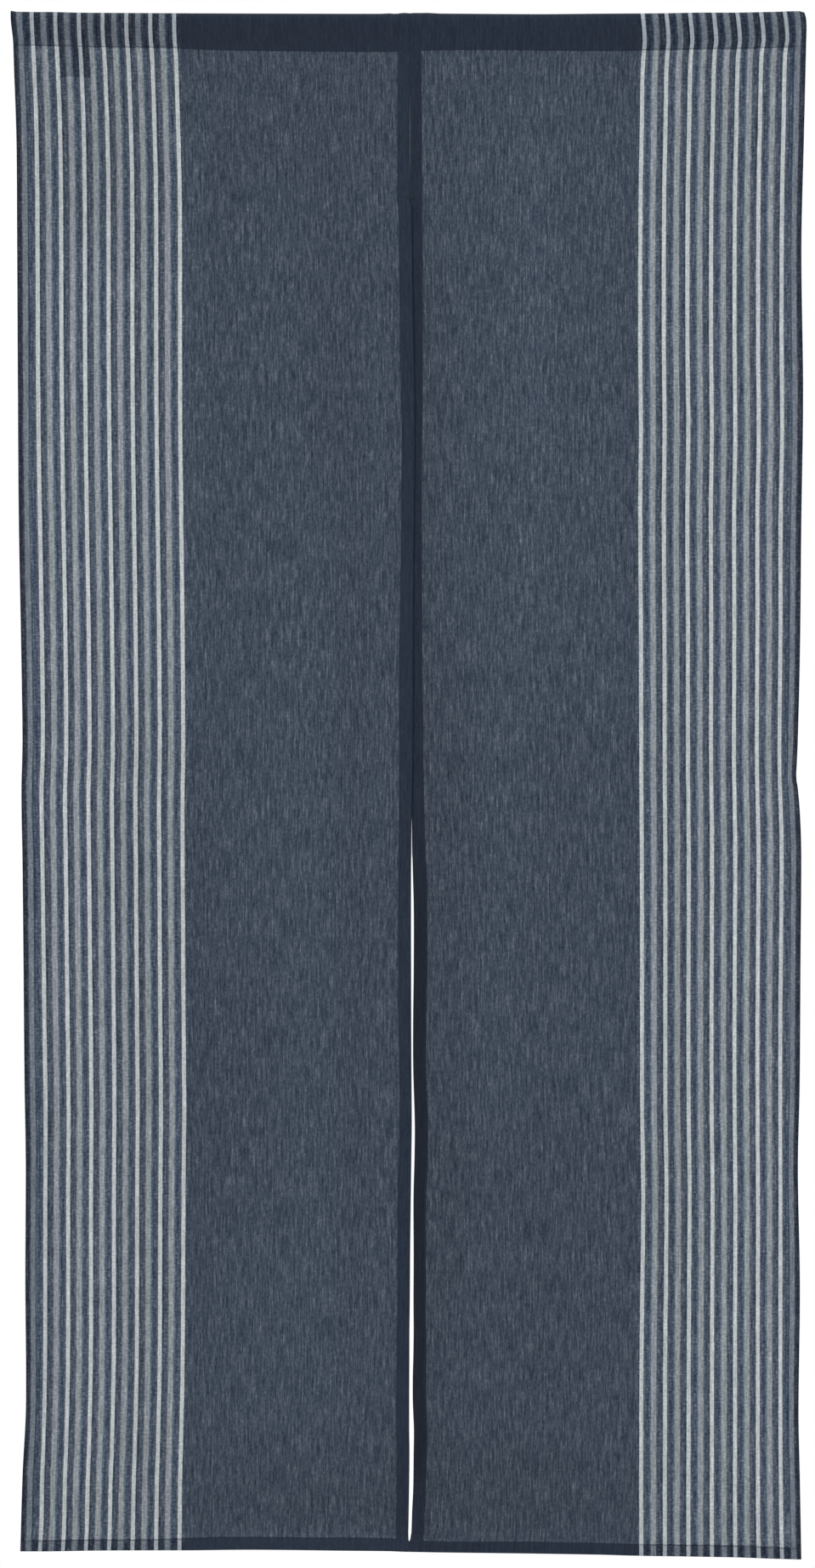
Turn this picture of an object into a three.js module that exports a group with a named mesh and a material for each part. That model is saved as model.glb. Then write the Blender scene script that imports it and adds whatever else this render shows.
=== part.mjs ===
// A noren: a split cloth curtain of two hemmed panels, sewn together down the first part of the
// middle, with a pocket for a rod along the top and a small plain label sewn on the back.
// Millimetres, +Z up. The front faces -Y and +X is to the viewer's right. The origin is where the
// centre seam meets the top edge, on the plane through the middle of the rod pocket.

import * as THREE from 'three';
import { mergeVertices } from 'three/addons/utils/BufferGeometryUtils.js';

// Driving dimensions
const LENGTH = 1700;
const PANEL_WIDTH = 436;
const CLOTH_THICKNESS = 1;
const HEM_THICKNESS = 2.2;
const SIDE_HEM_WIDTH = 13;
const BOTTOM_HEM_WIDTH = 13.5;
const SEWN_DROP = 204;
const OVERLAP_DROP = 224;
const STITCH_DROP = 38;
const FLAP_DROP = 41;
const POCKET_OUTER_RADIUS = 7.5;
const PIECE_GAP = 0.3;

// Label on the back of the left panel
const LABEL_LEFT = -386;
const LABEL_WIDTH = 33;
const LABEL_HEIGHT = 29;
const LABEL_THICKNESS = 1;

// Mesh steps along the cloth
const ACROSS_STEP = 26;
const DOWN_STEP = 60;
const HEM_EDGE_STEP = 0.8;
const POCKET_STEPS = 14;
const ARC_SEGMENTS = 8;
const LABEL_STEPS = 4;

// The outer side edges, as they wander down the curtain
const OUTER_EDGES = [
  { drop: 0, left: -441, right: 435.8 },
  { drop: 12, left: -440.4, right: 437.8 },
  { drop: 30, left: -438.6, right: 437.6 },
  { drop: 60, left: -437, right: 436.4 },
  { drop: 140, left: -434.6, right: 434.8 },
  { drop: 260, left: -433.4, right: 433 },
  { drop: 420, left: -433, right: 434.8 },
  { drop: 560, left: -432, right: 432.4 },
  { drop: 700, left: -430, right: 431 },
  { drop: 800, left: -428.6, right: 428.6 },
  { drop: 838, left: -429.4, right: 427.6 },
  { drop: 890, left: -428.8, right: 431.6 },
  { drop: 1040, left: -427, right: 432 },
  { drop: 1180, left: -425.6, right: 431 },
  { drop: 1270, left: -424.4, right: 429.2 },
  { drop: 1400, left: -424.8, right: 431 },
  { drop: 1540, left: -424, right: 429.4 },
  { drop: 1610, left: -428, right: 430.2 },
  { drop: 1700, left: -430.8, right: 432 },
];

// The two edges at the middle: sewn, then the left one in front of the right, then a narrow slit
const MIDDLE_EDGES = [
  { drop: 0, left: -PIECE_GAP / 2, right: PIECE_GAP / 2 },
  { drop: SEWN_DROP, left: -PIECE_GAP / 2, right: PIECE_GAP / 2 },
  { drop: OVERLAP_DROP, left: -PIECE_GAP / 2, right: PIECE_GAP / 2 },
  { drop: 290, left: 2.4, right: 0.4 },
  { drop: 460, left: 4.7, right: 0.8 },
  { drop: 620, left: 3.3, right: 1 },
  { drop: 790, left: 2.8, right: 1.3 },
  { drop: 880, left: 1.9, right: 1.6 },
  { drop: 930, left: 0.9, right: 2.4 },
  { drop: 1010, left: 0.8, right: 4.8 },
  { drop: 1110, left: 0.9, right: 3.8 },
  { drop: 1220, left: 1.6, right: 5.6 },
  { drop: 1310, left: 0.3, right: 4.4 },
  { drop: 1400, left: -0.6, right: 4.6 },
  { drop: 1500, left: -1.2, right: 4.1 },
  { drop: 1560, left: -1.5, right: 4.6 },
  { drop: 1645, left: -1.7, right: 3.2 },
  { drop: 1686, left: -2.3, right: 0.7 },
  { drop: 1700, left: -1.25, right: -0.95 },
];

// How far the top edge stands above or below the origin, across the curtain
const TOP_EDGE = [
  { x: -441, rise: 2.4 },
  { x: -420, rise: 1.4 },
  { x: -330, rise: 0.5 },
  { x: -200, rise: -0.5 },
  { x: -30, rise: -0.4 },
  { x: 0, rise: 0.3 },
  { x: 40, rise: -0.5 },
  { x: 130, rise: -1.4 },
  { x: 230, rise: -0.4 },
  { x: 320, rise: 0.5 },
  { x: 395, rise: 1.4 },
  { x: 438, rise: 2.4 },
];

// How far the bottom edge stands above or below its nominal length, across the curtain
const BOTTOM_EDGE = [
  { x: -431, rise: 0.4 },
  { x: -240, rise: 2 },
  { x: 0, rise: 0 },
  { x: 100, rise: -1 },
  { x: 205, rise: -3.6 },
  { x: 330, rise: -5.6 },
  { x: 432, rise: -8.6 },
];

// Soft lengthwise folds: each one's middle, how far it leans by the bottom, its half width, how far
// it stands forward, and the drops between which it shows
const FOLDS = [
  { x: -390, lean: 6, width: 30, forward: -1.8, from: 480, to: 1660 },
  { x: -322, lean: -10, width: 46, forward: 2.2, from: 120, to: 1690 },
  { x: -216, lean: 8, width: 40, forward: -2.8, from: 150, to: 1480 },
  { x: -112, lean: -14, width: 38, forward: 3.6, from: 90, to: 1620 },
  { x: -48, lean: 6, width: 24, forward: -2, from: 280, to: 1540 },
  { x: 72, lean: -8, width: 34, forward: -3.4, from: 640, to: 1520 },
  { x: 140, lean: 12, width: 36, forward: 3.2, from: 80, to: 940 },
  { x: 252, lean: 10, width: 48, forward: 2.6, from: 680, to: 1690 },
  { x: 340, lean: -6, width: 46, forward: -2.2, from: 120, to: 1500 },
  { x: 402, lean: 0, width: 28, forward: 1.6, from: 300, to: 1400 },
];
const FOLD_FADE = 130;
const MIDDLE_FADE = 60;

// Crosswise creases left by folding the curtain away: half height, and how far each stands back
const CREASES = [
  { drop: 428, reach: 24, back: 0.9 },
  { drop: 846, reach: 30, back: 2.4 },
  { drop: 1278, reach: 24, back: 1 },
];

// Where the left hem hangs in front of the right one, each steps away from the other
const OVERLAP = { easing: 905, end: 985, leftForward: 1.3, rightBack: 1.5, reach: 70 };

// Colours of the cloth where it is single, where it is doubled, and of the label
const SINGLE_CLOTH = { color: 0x4a5361, roughness: 0.95, metalness: 0 };
const DOUBLED_CLOTH = { color: 0x2f3744, roughness: 0.95, metalness: 0 };
const LABEL_CLOTH = { color: 0x8a8f96, roughness: 0.8, metalness: 0 };

const { lerp, smoothstep, clamp } = THREE.MathUtils;

// Slope of a table's column at one of its rows, from the rows on either side
function slopeAt(rows, along, column, index) {
  const before = rows[Math.max(index - 1, 0)];
  const after = rows[Math.min(index + 1, rows.length - 1)];
  return (after[column] - before[column]) / (after[along] - before[along]);
}

// Smooth curve through the rows of a table
function curveAt(rows, along, column, position) {
  const last = rows.length - 1;
  const at = clamp(position, rows[0][along], rows[last][along]);
  const index = Math.min(rows.findIndex((row) => row[along] >= at) || 1, last) - 1;
  const [low, high] = [rows[index], rows[index + 1]];
  const span = high[along] - low[along];
  const t = (at - low[along]) / span;
  const lowSlope = slopeAt(rows, along, column, index) * span;
  const highSlope = slopeAt(rows, along, column, index + 1) * span;
  const blend = t * t * (3 - 2 * t);
  const lowPart = t * (1 - t) * (1 - t);
  const highPart = t * t * (t - 1);
  return lerp(low[column], high[column], blend) + lowSlope * lowPart + highSlope * highPart;
}

// One panel's place from its cloth coordinates: across from its left edge, and drop from the top
class Panel {
  constructor(side) {
    this.side = side;
    this.isLeft = side === 'left';
  }

  leftEdge(drop) {
    return this.isLeft
      ? curveAt(OUTER_EDGES, 'drop', 'left', drop)
      : curveAt(MIDDLE_EDGES, 'drop', 'right', drop);
  }

  rightEdge(drop) {
    return this.isLeft
      ? curveAt(MIDDLE_EDGES, 'drop', 'left', drop)
      : curveAt(OUTER_EDGES, 'drop', 'right', drop);
  }

  x(across, drop) {
    return lerp(this.leftEdge(drop), this.rightEdge(drop), across / PANEL_WIDTH);
  }

  // The drop is stretched a little so that the cloth ends on the bottom edge
  z(x, drop) {
    const top = curveAt(TOP_EDGE, 'x', 'rise', x);
    const bottom = curveAt(BOTTOM_EDGE, 'x', 'rise', x);
    return lerp(top, bottom, drop / LENGTH) - drop;
  }

  // Middle of the front layer, forward or back of the plane through the rod pocket
  y(across, drop) {
    const x = this.x(across, drop);
    const toMiddle = this.isLeft ? PANEL_WIDTH - across : across;
    const settled = smoothstep(toMiddle, 0, MIDDLE_FADE);
    let y = -CLOTH_THICKNESS / 2;
    for (const fold of FOLDS) {
      const middle = fold.x + (fold.lean * drop) / LENGTH;
      const shown = smoothstep(drop, fold.from, fold.from + FOLD_FADE)
        * (1 - smoothstep(drop, fold.to - FOLD_FADE, fold.to));
      y -= fold.forward * Math.exp(-(((x - middle) / fold.width) ** 2)) * shown * settled;
    }
    for (const crease of CREASES) {
      const near = 1 - clamp(Math.abs(drop - crease.drop) / crease.reach, 0, 1);
      y += crease.back * near * near * settled;
    }
    return y + this.overlapStep(toMiddle, drop);
  }

  // Step away from the other panel's hem, strongest at the middle edge
  overlapStep(toMiddle, drop) {
    const shown = smoothstep(drop, SEWN_DROP, OVERLAP_DROP)
      * (1 - smoothstep(drop, OVERLAP.easing, OVERLAP.end));
    const near = 1 - smoothstep(toMiddle, SIDE_HEM_WIDTH, OVERLAP.reach);
    return (this.isLeft ? -OVERLAP.leftForward : OVERLAP.rightBack) * shown * near;
  }

  // The cloth is turned in to the back at both sides and at the bottom
  thickness(across, drop) {
    const fromSide = Math.min(across, PANEL_WIDTH - across);
    const hemmed = fromSide < SIDE_HEM_WIDTH || LENGTH - drop < BOTTOM_HEM_WIDTH;
    return hemmed ? HEM_THICKNESS : CLOTH_THICKNESS;
  }

  front(across, drop) {
    const x = this.x(across, drop);
    return new THREE.Vector3(x, this.y(across, drop) - CLOTH_THICKNESS / 2, this.z(x, drop));
  }

  back(across, drop) {
    return this.front(across, drop).add(new THREE.Vector3(0, this.thickness(across, drop), 0));
  }
}

// Stations along the cloth: every mark, with even steps between marks that lie far apart
function stations(marks, step) {
  const filled = [marks[0]];
  for (const [index, mark] of marks.slice(1).entries()) {
    const from = marks[index];
    const count = Math.ceil((mark - from) / step);
    for (let part = 1; part <= count; part += 1) {
      filled.push(lerp(from, mark, part / count));
    }
  }
  return filled;
}

// A closed body with its position alone, so that every corner is shared
function closed(geometry) {
  geometry.deleteAttribute('normal');
  geometry.deleteAttribute('uv');
  const merged = mergeVertices(geometry);
  merged.computeVertexNormals();
  return merged;
}

// A box divided at the stations, bent onto the cloth: place(across, drop, isBack) gives each point
function sheetGeometry(acrossStations, dropStations, place) {
  const columns = acrossStations.length - 1;
  const rows = dropStations.length - 1;
  const geometry = new THREE.BoxGeometry(columns, 1, rows, columns, 1, rows);
  const position = geometry.getAttribute('position');
  for (let index = 0; index < position.count; index += 1) {
    const across = acrossStations[Math.round(position.getX(index) + columns / 2)];
    const drop = dropStations[Math.round(rows / 2 - position.getZ(index))];
    const point = place(across, drop, position.getY(index) > 0);
    position.setXYZ(index, point.x, point.y, point.z);
  }
  return closed(geometry);
}

function panelGeometry(panel) {
  const halfStep = HEM_EDGE_STEP / 2;
  const hemEdge = [SIDE_HEM_WIDTH - halfStep, SIDE_HEM_WIDTH + halfStep];
  const acrossMarks = [0, ...hemEdge, ...hemEdge.map((mark) => PANEL_WIDTH - mark).reverse(), PANEL_WIDTH];
  const bottomHemEdge = LENGTH - BOTTOM_HEM_WIDTH;
  const creaseMarks = CREASES.flatMap(({ drop, reach }) => [
    drop - reach,
    drop - reach / 2,
    drop,
    drop + reach / 2,
    drop + reach,
  ]);
  const dropMarks = [
    FLAP_DROP + PIECE_GAP,
    SEWN_DROP,
    OVERLAP_DROP,
    ...creaseMarks,
    bottomHemEdge - halfStep,
    bottomHemEdge + halfStep,
    LENGTH,
  ];
  return sheetGeometry(
    stations(acrossMarks, ACROSS_STEP),
    stations(dropMarks, DOWN_STEP),
    (across, drop, isBack) => (isBack ? panel.back(across, drop) : panel.front(across, drop)),
  );
}

// Angle above the horizontal, on the pocket's round top, where the back wall leaves it for the
// stitch line. It is below the horizontal, so negative.
function tangentAngle() {
  const depth = STITCH_DROP - POCKET_OUTER_RADIUS;
  const reach = Math.hypot(CLOTH_THICKNESS, depth);
  return Math.acos(POCKET_OUTER_RADIUS / reach) - Math.atan2(depth, CLOTH_THICKNESS);
}

// Section of the rod pocket: round over the rod, narrowing to the stitch line, with the turned
// flap's edge standing a little below it. Drawn with y across and z up.
function pocketSection() {
  const innerRadius = POCKET_OUTER_RADIUS - CLOTH_THICKNESS;
  const backTangent = tangentAngle();
  const frontTangent = Math.PI - backTangent;
  const axisZ = -POCKET_OUTER_RADIUS;
  const section = new THREE.Shape();
  section.moveTo(-CLOTH_THICKNESS, -FLAP_DROP);
  section.lineTo(CLOTH_THICKNESS, -FLAP_DROP);
  section.lineTo(CLOTH_THICKNESS, -STITCH_DROP);
  section.absarc(0, axisZ, POCKET_OUTER_RADIUS, backTangent, frontTangent, false);
  section.lineTo(-CLOTH_THICKNESS, -STITCH_DROP);
  const channel = new THREE.Path();
  channel.absarc(0, axisZ, innerRadius, backTangent, frontTangent, false);
  channel.lineTo(0, axisZ - innerRadius / Math.sin(-backTangent));
  section.holes.push(channel);
  return section;
}

// The section is run from the pocket's left end to its right end, along the edges and the sag
function pocketGeometry(panel) {
  const geometry = new THREE.ExtrudeGeometry(pocketSection(), {
    depth: PANEL_WIDTH,
    steps: POCKET_STEPS,
    curveSegments: ARC_SEGMENTS,
    bevelEnabled: false,
  });
  const position = geometry.getAttribute('position');
  for (let index = 0; index < position.count; index += 1) {
    const y = position.getX(index);
    const drop = -position.getY(index);
    const x = panel.x(position.getZ(index), drop);
    position.setXYZ(index, x, y, panel.z(x, drop));
  }
  return closed(geometry);
}

// The label hangs from under the flap, against the back of the left panel
function labelGeometry(panel) {
  const top = FLAP_DROP + PIECE_GAP;
  const start = LABEL_LEFT - panel.leftEdge(top);
  const fromPanel = new THREE.Vector3(0, PIECE_GAP, 0);
  const fromBack = new THREE.Vector3(0, LABEL_THICKNESS, 0);
  return sheetGeometry(
    stations([start, start + LABEL_WIDTH], LABEL_WIDTH / LABEL_STEPS),
    stations([top, top + LABEL_HEIGHT], LABEL_HEIGHT / LABEL_STEPS),
    (across, drop, isBack) => {
      const point = panel.back(across, drop).add(fromPanel);
      return isBack ? point.add(fromBack) : point;
    },
  );
}

function piece(name, geometry, finish) {
  const mesh = new THREE.Mesh(geometry, new THREE.MeshStandardMaterial(finish));
  mesh.name = name;
  return mesh;
}

const leftPanel = new Panel('left');
const rightPanel = new Panel('right');
const noren = new THREE.Group();
for (const panel of [leftPanel, rightPanel]) {
  noren.add(piece(`${panel.side}_pocket`, pocketGeometry(panel), DOUBLED_CLOTH));
  noren.add(piece(`${panel.side}_panel`, panelGeometry(panel), SINGLE_CLOTH));
}
noren.add(piece('care_label', labelGeometry(leftPanel), LABEL_CLOTH));

export default noren;
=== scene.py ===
"""Looks of a noren: a split door curtain of striped indigo cloth, hung by a pocket along its top.

Metres, +Z up. The front faces -Y and +X is to the viewer's right. The origin is where the centre
seam meets the top edge, on the plane through the middle of the rod pocket. A place on a panel is
given by its inward distance, from the panel's outer edge towards the middle of the curtain, and
its drop, from the top edge down.
"""

from __future__ import annotations

import logging
import math
from collections.abc import Callable
from dataclasses import dataclass
from enum import Enum
from functools import partial
from itertools import starmap
from typing import NamedTuple

import bpy
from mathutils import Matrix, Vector

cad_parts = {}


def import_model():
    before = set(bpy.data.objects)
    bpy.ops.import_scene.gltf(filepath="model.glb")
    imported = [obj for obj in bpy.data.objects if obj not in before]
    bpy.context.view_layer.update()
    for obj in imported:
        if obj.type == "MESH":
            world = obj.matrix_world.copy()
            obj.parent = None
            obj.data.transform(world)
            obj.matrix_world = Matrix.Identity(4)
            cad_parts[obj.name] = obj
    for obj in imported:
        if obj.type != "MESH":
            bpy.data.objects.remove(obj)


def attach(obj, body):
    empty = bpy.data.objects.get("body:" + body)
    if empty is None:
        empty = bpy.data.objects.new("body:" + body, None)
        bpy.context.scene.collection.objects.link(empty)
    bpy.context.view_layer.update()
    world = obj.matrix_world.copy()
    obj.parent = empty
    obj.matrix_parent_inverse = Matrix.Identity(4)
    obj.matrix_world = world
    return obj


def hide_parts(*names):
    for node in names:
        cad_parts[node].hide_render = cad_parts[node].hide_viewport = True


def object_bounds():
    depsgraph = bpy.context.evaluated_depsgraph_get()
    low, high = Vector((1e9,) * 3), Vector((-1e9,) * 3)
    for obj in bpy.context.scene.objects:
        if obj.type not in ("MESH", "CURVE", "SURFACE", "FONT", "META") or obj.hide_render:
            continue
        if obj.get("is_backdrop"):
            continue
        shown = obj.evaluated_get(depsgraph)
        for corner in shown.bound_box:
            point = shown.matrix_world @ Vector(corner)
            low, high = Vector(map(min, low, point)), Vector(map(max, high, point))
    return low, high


LOG = logging.getLogger("noren")
MM = 0.001
BODY = "root"
PATTERN_MAP = "pattern"
LAYER_MAP = "layers"
# Name of the mesh attribute that carries the cloth's painted light and shade
PAINTED_LIGHT = "tone"


class Side(Enum):
    """The two panels, with the sign of the x of their outer edges."""

    LEFT = -1
    RIGHT = 1


class Face(Enum):
    """The side of the cloth that something lies on, with the sign of its y."""

    FRONT = -1
    BACK = 1

    def behind(self, height: float) -> float:
        """How far behind a hem's front layer a height over this face of the hem is."""
        layers = SIZES.layer_gap if self is Face.BACK else 0.0
        return layers + self.value * height


class EdgeRow(NamedTuple):
    """Where the left and the right edge stand at one drop, in millimetres."""

    drop: float
    left: float
    right: float


class StripeRow(NamedTuple):
    """Middles of the white stripes nearest the edge and nearest the field, in millimetres.

    The bow is how far the stripes between them stand out from even spacing, towards the edge.
    """

    drop: float
    left_outer: float
    left_inner: float
    left_bow: float
    right_inner: float
    right_outer: float
    right_bow: float


class HemRow(NamedTuple):
    """Widths of the hems at the middle of the curtain at one drop, in millimetres."""

    drop: float
    left: float
    right: float


class RiseRow(NamedTuple):
    """How far an edge stands above its nominal height at one x, in millimetres."""

    x: float
    rise: float


class Fold(NamedTuple):
    """A soft lengthwise fold, in millimetres: its place, lean, half width, height and reach."""

    x: float
    lean: float
    width: float
    forward: float
    start: float
    end: float


class Crease(NamedTuple):
    """A crosswise crease left by storing, in millimetres."""

    drop: float
    reach: float
    back: float


class PaintedLightBand(NamedTuple):
    """A soft area of painted light or shade on the cloth, for its soft folds and the light through
    it: its place in millimetres and its gain.
    """

    x: float
    width: float
    start: float
    end: float
    gain: float


OUTER_EDGES = tuple(starmap(EdgeRow, (
    (0, -441.4, 435.8), (12, -440.9, 437.8), (30, -439.2, 438), (60, -438, 437.3),
    (140, -435.2, 435.4), (260, -434.4, 432.7), (420, -433.6, 434.6), (560, -432.6, 432.6),
    (700, -430, 431.1), (800, -428.5, 428.7), (832, -429, 427.3), (841, -429.4, 426.9),
    (846, -429.6, 427.6), (852, -429.7, 428.7), (890, -429.4, 431.5), (930, -428.6, 432.5),
    (1040, -427.5, 431.7), (1180, -426.3, 430.7), (1270, -424.9, 428.8), (1400, -425.4, 431),
    (1540, -424.7, 429.5), (1610, -428.2, 430.9), (1700, -430.9, 432.6),
)))

MIDDLE_EDGES = tuple(starmap(EdgeRow, (
    (0, -0.15, 0.15), (204, -0.15, 0.15), (214, 1, 0.2), (226, 1.5, 0.3), (290, 2.4, 0.4),
    (460, 4.7, 0.8), (620, 3.3, 1), (790, 2.8, 1.3), (870, 2, 1.7), (880, 1.9, 1.9),
    (892, 1.7, 2.2), (914, 1.4, 2.3), (929, 1.3, 2.5), (937, 1.1, 2.9), (960, 1, 3.5),
    (982, 1, 4.1), (1010, 1, 4.3), (1060, 1.1, 4.1), (1115, 1.2, 3.5), (1165, 1.4, 3.6),
    (1225, 1.8, 5.3), (1260, 1.4, 5.1), (1310, 0.7, 3.9), (1370, 0, 4.1), (1425, -0.4, 3.9),
    (1455, -0.8, 4.1), (1485, -0.9, 3.7), (1508, -1, 3.1), (1530, -1.1, 3.1), (1548, -1.1, 3.7),
    (1565, -1.1, 4.4), (1590, -0.8, 4.1), (1630, -1.2, 3.6), (1655, -1.6, 2.4), (1672, -1.9, 1.9),
    (1685, -2.1, 0.9), (1689, -1.3, -1), (1700, -1.2, -0.9),
)))

HEMS = tuple(starmap(HemRow, (
    (0, 13.5, 12), (190, 14.3, 13.5), (357, 14.8, 13.8), (470, 14.1, 12.7), (560, 14, 12.4),
    (640, 14.1, 12.8), (700, 15.5, 12.7), (810, 15.1, 13.5), (864, 14.7, 14.1), (977, 14.7, 15.4),
    (1090, 14.8, 14.8), (1180, 13.5, 14.5), (1259, 14.3, 14.8), (1315, 15.1, 13.9),
    (1428, 14.3, 13.7), (1541, 14.8, 15.3), (1597, 14.4, 14.6), (1700, 14, 14),
)))

STRIPES = tuple(starmap(StripeRow, (
    (0, -418.4, -260.7, 0.4, 257, 413.9, 0), (30, -417.4, -260.4, 0.7, 259.5, 417.3, 0.1),
    (46, -416.6, -259.1, 0.5, 258.3, 414.9, 0.2), (70, -415.4, -258.1, 0.2, 257, 414, 0.3),
    (120, -413.5, -256.7, 0, 256.4, 413.1, 0.2), (200, -412.3, -254.7, 0, 255, 411.5, 0.1),
    (360, -411.6, -254.5, 0.2, 254.5, 410.8, 0.3), (460, -410.9, -254.2, 0, 255.3, 411.4, 0.5),
    (550, -409.6, -253.2, 0, 254.5, 409.8, 0.6), (690, -407.2, -251.6, 0, 255.4, 409.5, 0.7),
    (812, -406.2, -250.9, 0, 255.6, 408.5, 0.9), (860, -407.8, -251.6, 0, 255.8, 409.5, 0.8),
    (925, -406.8, -251.6, 0, 256.2, 410.9, 0.5), (1110, -404.5, -250.5, 0.1, 256.4, 409.4, 0.6),
    (1210, -403.1, -249.8, 0.4, 256.6, 409.4, 0.7), (1300, -403.5, -250.5, 0.3, 257.8, 409.7, 0.9),
    (1490, -403.8, -251.5, 0, 255.8, 409.6, 1.2), (1585, -405.7, -253.4, 0.1, 255.5, 409.8, 1.2),
    (1620, -407, -254.3, 0.4, 255.5, 410.1, 0.9), (1670, -407.7, -254.7, 0.8, 255.7, 410.7, 0.5),
    (1700, -409.4, -255, 0.8, 255.7, 411.5, 0.3),
)))

TOP_EDGE = tuple(starmap(RiseRow, (
    (-441, 1.6), (-425, 1.3), (-397, 1.5), (-368, 0.8), (-330, 0.5), (-200, -0.1), (-100, -0.4),
    (-40, -0.5), (0, -0.3), (40, -0.3), (100, -0.7), (150, -0.9), (205, -0.4), (280, 0.1),
    (320, 0.8), (360, 0.8), (395, 1.5), (420, 1.9), (438, 2.1),
)))

TOP_BUMPS = tuple(starmap(RiseRow, (
    (-30, 0), (-23, 0.2), (-16.5, -0.5), (-12, -0.1), (-8, 0.4), (-3, 0.3), (0, 0), (3, 0.3),
    (12, 0.3), (20, 0.5), (25, 0.4), (32, 0.1), (40, 0),
)))

POCKET_SEAM = tuple(starmap(RiseRow, (
    (-436, 3.3), (-336, 2.2), (-268, 1.9), (-236, 0.6), (-195, -0.5), (-110, -1.2), (-25, -1.5),
    (19, -0.1), (111, 0.7), (226, -0.8), (280, -0.2), (369, 0.4), (421, 0.9),
)))

BOTTOM_EDGE = tuple(starmap(RiseRow, (
    (-431, -0.2), (-400, -0.1), (-340, 0.8), (-240, 1.1), (-170, 1.6), (-90, 0.8), (-25, 0.1),
    (-8, -0.6), (30, -1.2), (110, -2.2), (205, -3.7), (245, -4.8), (320, -6), (360, -6.7),
    (395, -8), (432, -9.2),
)))

BOTTOM_SEAM = tuple(starmap(RiseRow, (
    (-431, -0.5), (-285, -0.8), (-248, 0.4), (-200, 1), (-110, 0.9), (-60, 1.3), (-15, 0.6),
    (25, -1), (75, -1.1), (115, -0.3), (205, -0.6), (280, -0.1), (432, -0.1),
)))

FOLDS = tuple(starmap(Fold, (
    (-390, 6, 30, -1.8, 480, 1660), (-322, -10, 46, 2.2, 120, 1690), (-216, 8, 40, -2.8, 150, 1480),
    (-112, -14, 38, 3.6, 90, 1620), (-48, 6, 24, -2, 280, 1540), (72, -8, 34, -3.4, 640, 1520),
    (140, 12, 36, 3.2, 80, 940), (252, 10, 48, 2.6, 680, 1690), (340, -6, 46, -2.2, 120, 1500),
    (402, 0, 28, 1.6, 300, 1400),
)))

CREASES = (
    Crease(428, 24, 0.9),
    Crease(846, 30, 2.4),
    Crease(1278, 24, 1),
)

# Painted light and shade: soft lighter and darker bands where the folds and the light through the
# cloth fall, and painted shade towards the bottom
PAINTED_LIGHT_BANDS = tuple(starmap(PaintedLightBand, (
    (-410, 40, 1100, 1760, -0.08), (-340, 90, -130, 330, -0.13), (-300, 40, 700, 1760, -0.07),
    (-239, 14, 40, 830, 0.14), (-190, 60, 960, 1400, -0.05), (-110, 120, -130, 260, -0.04),
    (-103, 26, 450, 1590, 0.08), (-51, 18, 550, 1350, -0.04), (12, 34, 200, 1760, -0.07),
    (47, 28, 640, 1020, -0.04), (142, 20, 30, 640, 0.06), (172, 84, 30, 830, 0.08),
    (125, 120, 1160, 1700, -0.06), (280, 40, 300, 1700, -0.05), (340, 110, -130, 230, -0.06),
    (0, 400, 840, 1760, -0.014), (0, 400, 1540, 1760, -0.12),
)))


class Ripple(NamedTuple):
    """A small ripple: its height and the lengths it runs over in metres, and its phase."""

    height: float
    across: float
    down: float
    phase: float = 0.0

    def at(self, inward: float, drop: float, shift: float = 0.0) -> float:
        """How far the ripple stands forward at a place, with its phase shifted."""
        turn = inward / self.across + drop / self.down + self.phase + shift
        return self.height * math.sin(turn)


# Puckers beside the stitches of the pocket, the outer hem and the middle hem
GATHERS = (Ripple(0.00022, 0.0031, math.inf), Ripple(0.00016, 0.0053, math.inf, 1.0))
OUTER_PUCKERS = (
    Ripple(0.00012, math.inf, 0.0057, 0.4),
    Ripple(0.000072, math.inf, 0.0091, 1.2),
)
MIDDLE_PUCKERS = (
    Ripple(0.00012, math.inf, 0.0057, 2.1),
    Ripple(0.000072, math.inf, 0.0091, 6.3),
)

# Over the whole cloth: a ripple, the swell that it comes and goes with, and a slanting ripple
SLOW_RIPPLE = Ripple(0.00022, 0.021, 0.19)
SLOW_SWELL = Ripple(1.0, 0.060, 0.083)
SLANTING_RIPPLE = Ripple(0.000154, 0.013, -0.27)

# The uneven width of the outer hem
LONG_WANDER = Ripple(0.0005, math.inf, 0.11)
SHORT_WANDER = Ripple(0.0003, math.inf, 0.047)


class SmoothCurve:
    """A smooth curve through the rows of a table, level past its ends."""

    def __init__(self, positions: list[float], values: list[float]) -> None:
        """Keeps the rows and works out the slope at each.

        Args:
            positions: Rising positions along the curve.
            values: The curve's value at each position.
        """
        self.positions = positions
        self.values = values
        last = len(positions) - 1
        self.slopes: list[float] = []
        for index in range(len(positions)):
            before = max(index - 1, 0)
            after = min(index + 1, last)
            run = positions[after] - positions[before]
            self.slopes.append((values[after] - values[before]) / run)

    def at(self, position: float) -> float:
        """Value at a position.

        Args:
            position: Where along the curve.

        Returns:
            The value there.
        """
        held = min(max(position, self.positions[0]), self.positions[-1])
        index = 0
        while index < len(self.positions) - 2 and self.positions[index + 1] < held:
            index += 1
        span = self.positions[index + 1] - self.positions[index]
        part = (held - self.positions[index]) / span
        blend = part * part * (3 - 2 * part)
        low, high = self.values[index], self.values[index + 1]
        rising = self.slopes[index] * span * part * (1 - part) * (1 - part)
        settling = self.slopes[index + 1] * span * part * part * (part - 1)
        return low + (high - low) * blend + rising + settling


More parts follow.
